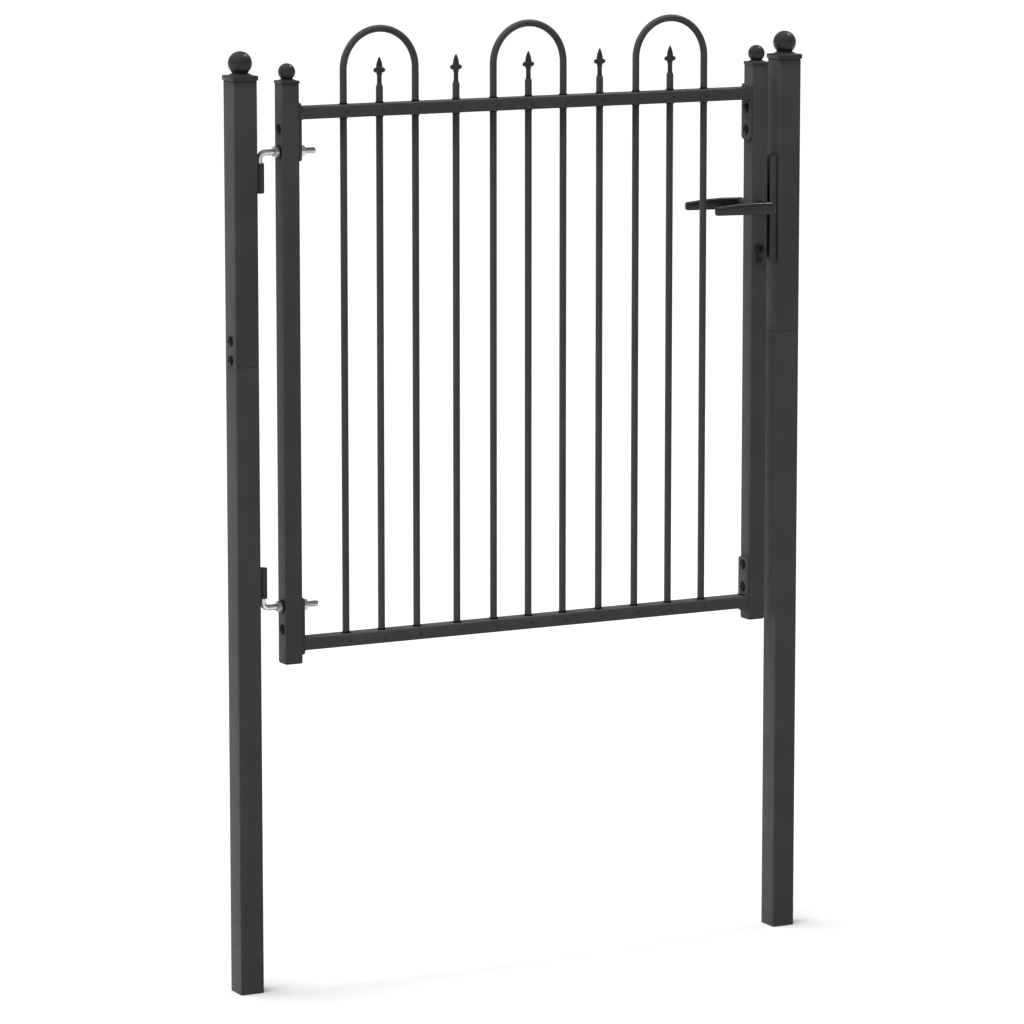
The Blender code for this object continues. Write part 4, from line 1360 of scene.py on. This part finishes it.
@dataclass
class Lock:
    """The levers, rosettes and profile cylinder, and the lock's own steel."""

    finishes: Finishes
    hub_radius: float = 9.8 * MM
    thickness: float = 10 * MM
    tip_half: float = 7.0 * MM
    tip_drop: float = 0.8 * MM
    tip_corner: float = 4 * MM
    neck: float = 7.5 * MM
    arch: float = 2.0 * MM
    rosette_radius: float = 9.3 * MM
    rosette: float = 3 * MM
    key_slot: tuple[float, float] = (1.8 * MM, 7.4 * MM)
    recess_radius: float = 1.9 * MM
    recess_depth: float = 3 * MM
    recess_lift: float = 1.5 * MM

    def build(self) -> None:
        """Makes the lock furniture, and dresses the lock parts that stay as the CAD has them."""
        self.build_levers()
        self.build_rosettes()
        self.build_cylinder()
        for node in ("lock_case", "dead_bolt", "spindle"):
            dress_node(node, self.finishes.steel)
        dress_node("latch_bolt", self.finishes.nickel)

    def lever_stations(self, length: float) -> list[tuple[float, float, float]]:
        """Works out the side of the grip, from its tip to the far end of the round hub.

        Args:
            length: from the tip's first station to the hub's centre.

        Returns:
            (distance to the hub's centre, middle height, half height) of each station.
        """
        stations = []
        steps = 9
        for step in range(1, steps + 1):
            share = step / steps
            rise = self.arch * math.sin(math.pi * share)
            top = (self.tip_half - self.tip_drop) * (1 - share) + self.hub_radius * share + rise
            bottom = -(self.tip_half + self.tip_drop) * (1 - share) - self.hub_radius * share
            stations.append((-length * (1 - share), (top + bottom) / 2, (top - bottom) / 2))
        for step in range(1, 13):
            angle = math.radians(84) * step / 12
            stations.append((self.hub_radius * math.sin(angle), 0.0, self.hub_radius * math.cos(angle)))
        return stations

    def build_levers(self) -> None:
        """Draws the grip from its tip round the hub, rounds it, welds on the neck and mirrors the whole."""
        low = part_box("front_lever")[0]
        rosette_low, rosette_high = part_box("front_rosette")
        hub = (rosette_low + rosette_high) / 2
        back = low.y + self.thickness
        first = self.tip_corner + 1 * MM
        middle, half, x = hub.z - self.tip_drop, self.tip_half, low.x + first
        blank = Blank.block("front_lever_casting", (low.x, low.y, middle - half), (x, back, middle + half))
        blank.pick_faces(lambda _, normal: normal.x > 0.9)
        for offset, rise, next_half in self.lever_stations(hub.x - x):
            blank.draw_out((hub.x + offset - x, 0, hub.z + rise - middle))
            middle, x = hub.z + rise, hub.x + offset
            blank.stretch((1, 1, next_half / half), (x, 0, middle))
            half = next_half
        blank.pick_edges(lambda spot, way: abs(way.y) > SAME_WAY and spot.x < low.x + 0.1 * MM)
        blank.round_over(self.tip_corner, 5)
        for side in (-1, 1):
            blank.pick_faces(lambda _, normal: normal.y * side > SAME_WAY)
            bpy.ops.mesh.dissolve_faces()
        blank.pick_faces(lambda _, normal: abs(normal.y) > SAME_WAY).round_rim(3.0 * MM, 6)
        lever = blank.finish(smooth=50)
        face = rosette_high.y
        neck_length = face - back
        stem = Blank.disc("front_lever_neck", self.neck - 0.1 * MM, 0, 40)
        stem.turn(
            [
                (self.neck, 0.4 * MM),
                (self.neck, neck_length - 4 * MM),
                (self.neck + 0.6 * MM, neck_length - 1.6 * MM),
                (self.neck + 1.6 * MM, neck_length + 1 * MM),
            ]
        )
        work(lever, stem.finish((hub.x, face, hub.z), Facing.FRONT), Cut.WELD, 40)
        rear = mirror_to(lever, "rear_lever_casting")
        dress(lever, self.finishes.enamel, Body.HANDLE, ("front_lever",))
        dress(rear, self.finishes.enamel, Body.HANDLE, ("rear_lever",))

    def build_rosettes(self) -> None:
        """Turns a stepped ring for each side of the stile."""
        low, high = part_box("front_rosette")
        centre = ((low.x + high.x) / 2, high.y, (low.z + high.z) / 2)
        bore = self.neck + 0.4 * MM
        ring = Blank.disc("front_rosette_ring", self.rosette_radius, 0, 48)
        ring.turn([(self.rosette_radius, 1.6 * MM)])
        ring.turn([(self.rosette_radius - 0.8 * MM, self.rosette - 0.3 * MM)])
        ring.turn([(self.rosette_radius - 1.1 * MM, self.rosette)])
        piece = ring.finish(centre, Facing.FRONT)
        drill = Blank.disc("rosette_drill", bore, -1 * MM, 40).turn([(bore, self.rosette + 1 * MM)])
        work(piece, drill.finish(centre, Facing.FRONT), Cut.CUT_AWAY)
        rear = mirror_to(piece, "rear_rosette_ring")
        dress(piece, self.finishes.black, Body.LEAF, ("front_rosette",))
        dress(rear, self.finishes.black, Body.LEAF, ("rear_rosette",))

    def build_cylinder(self) -> None:
        """Builds the keyhole-shaped body and bores it, then makes the plug with a key slot in each end."""
        low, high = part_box("lock_cylinder")
        plug_low, plug_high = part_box("cylinder_plug")
        axis = (plug_low + plug_high) / 2
        radius = (high.x - low.x) / 2
        length = high.y - low.y
        body = Blank.disc("lock_cylinder_body", radius - 0.4 * MM, 0, 40)
        body.turn([(radius, 0.4 * MM), (radius, length - 0.4 * MM), (radius - 0.4 * MM, length)])
        piece = body.finish((axis.x, high.y, axis.z), Facing.FRONT)
        leg_half = 5 * MM
        leg = Blank.block(
            "lock_cylinder_leg", (axis.x - leg_half, low.y, low.z), (axis.x + leg_half, high.y, axis.z)
        )
        leg.pick_edges(lambda middle, way: abs(way.y) > SAME_WAY and middle.z < axis.z - 5 * MM)
        leg.round_over(leg_half - 0.2 * MM, 8)
        leg.pick_faces(lambda _, normal: abs(normal.y) > SAME_WAY).round_rim(0.4 * MM)
        work(piece, leg.finish(), Cut.WELD)
        plug_radius = (plug_high.x - plug_low.x) / 2
        bore = plug_radius + 0.3 * MM
        drill = Blank.disc("cylinder_drill", bore, -1 * MM, 40).turn([(bore, length + 1 * MM)])
        work(piece, drill.finish((axis.x, high.y, axis.z), Facing.FRONT), Cut.CUT_AWAY)
        for end in (low.y, high.y):
            recess = Blank.disc("cylinder_recess", self.recess_radius, -self.recess_depth, 20)
            recess.turn([(self.recess_radius, self.recess_depth)])
            place = (axis.x, end, low.z + leg_half + self.recess_lift)
            work(piece, recess.finish(place, Facing.FRONT), Cut.CUT_AWAY)
        dress(piece, self.finishes.nickel, Body.LEAF, ("lock_cylinder",))
        plug_length = plug_high.y - plug_low.y
        plug = Blank.disc("cylinder_plug_turned", plug_radius - 0.3 * MM, 0, 40)
        plug.turn([(plug_radius, 0.3 * MM), (plug_radius, plug_length - 0.3 * MM)])
        plug.turn([(plug_radius - 0.3 * MM, plug_length)])
        turned = plug.finish((axis.x, plug_high.y, axis.z), Facing.FRONT)
        wide, tall = self.key_slot
        for end in (plug_low.y, plug_high.y):
            corner = Vector((wide / 2, 9 * MM, tall / 2))
            middle = Vector((axis.x, end, axis.z))
            slot = Blank.block("key_slot", middle - corner, middle + corner)
            work(turned, slot.finish(), Cut.CUT_AWAY)
        dress(turned, self.finishes.black, Body.KEY_PLUG, ("cylinder_plug",))


@dataclass
class Studio:
    """A plain pale floor, soft light from the upper left and a small lamp at the right, and the camera."""

    floor_size: float = 160.0
    floor_tone: str = "#d8d8d8"
    sky: float = 0.32
    key_strength: float = 4.2
    key_softness: float = 60.0
    key_elevation: float = 66.0
    lamp_place: tuple[float, float, float] = (4.8, 0.5, 8.0)
    lamp_width: float = 0.8
    lamp_power: float = 200.0
    lamp_aim: tuple[float, float, float] = (0.0, 0.0, 1.3)
    camera_place: tuple[float, float, float] = (-3.959, -7.495, 2.133)
    camera_turn: float = 27.76
    camera_dip: float = 9.25
    lens: float = 183.2
    sensor: float = 36.0
    farthest: float = 400.0

    def build(self) -> None:
        """Lays the floor, hangs the lights and sets up the camera."""
        self.lay_floor()
        self.light()
        self.set_camera()

    def lay_floor(self) -> None:
        """Lays one wide sheet of matt pale grey."""
        clear_bench()
        bpy.ops.mesh.primitive_plane_add(size=self.floor_size, location=(0, 0, 0))
        floor = bpy.context.object
        floor.name = "studio_floor"
        bpy.ops.object.transform_apply(location=True, rotation=True, scale=True)
        material, _, shader, _ = new_shader("matt_studio_floor")
        shader.inputs["Base Color"].default_value = linear(self.floor_tone)
        shader.inputs["Roughness"].default_value = 1.0
        shader.inputs["Specular IOR Level"].default_value = 0.0
        floor.data.materials.append(material)
        floor.visible_diffuse = False  # it shows and takes shadows, but lights no underside

    def light(self) -> None:
        """Sets an even pale sky, a wide soft key from the upper left and a small lamp high at the right."""
        world = bpy.context.scene.world or bpy.data.worlds.new("studio")
        bpy.context.scene.world = world
        world.use_nodes = True
        world.node_tree.nodes["Background"].inputs["Color"].default_value = (1, 1, 1, 1)
        world.node_tree.nodes["Background"].inputs["Strength"].default_value = self.sky
        clear_bench()
        tilt = math.radians(90 - self.key_elevation)
        bpy.ops.object.light_add(type="SUN", location=(-3, 0, 5), rotation=(0, -tilt, 0))
        key = bpy.context.object.data
        key.energy = self.key_strength
        key.angle = math.radians(self.key_softness)
        bpy.context.object.visible_glossy = False
        clear_bench()
        bpy.ops.object.light_add(type="AREA", location=self.lamp_place)
        lamp = bpy.context.object
        lamp.data.shape = "DISK"
        lamp.data.size = self.lamp_width
        lamp.data.energy = self.lamp_power
        aim = Vector(self.lamp_aim) - lamp.location
        lamp.rotation_euler = aim.to_track_quat("-Z", "Y").to_euler()

    def set_camera(self) -> None:
        """Places a long-lens camera to the left of the gate, looking a little down at it."""
        clear_bench()
        turn = (math.radians(90 - self.camera_dip), 0, -math.radians(self.camera_turn))
        bpy.ops.object.camera_add(location=self.camera_place, rotation=turn)
        camera = bpy.context.object
        camera.data.sensor_width = self.sensor
        camera.data.lens = self.lens
        camera.data.clip_end = self.farthest
        bpy.context.scene.camera = camera
        bpy.context.scene.view_settings.view_transform = "Standard"


def main() -> None:
    """Builds the gate's looks in order, and the studio around it."""
    logging.basicConfig(level=logging.INFO, format="%(message)s")
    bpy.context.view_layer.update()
    plug_low, plug_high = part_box("cylinder_plug")
    finishes = Finishes((plug_low + plug_high) / 2)
    for assembly in (
        Posts(finishes),
        LeafFrame(finishes),
        Bars(finishes),
        Hinges(finishes),
        Keep(finishes),
        Lock(finishes),
        ScrewSet(finishes),
        Studio(),
    ):
        log.info("-- %s", type(assembly).__name__)
        assembly.build()


if __name__ == "__main__":
    main()
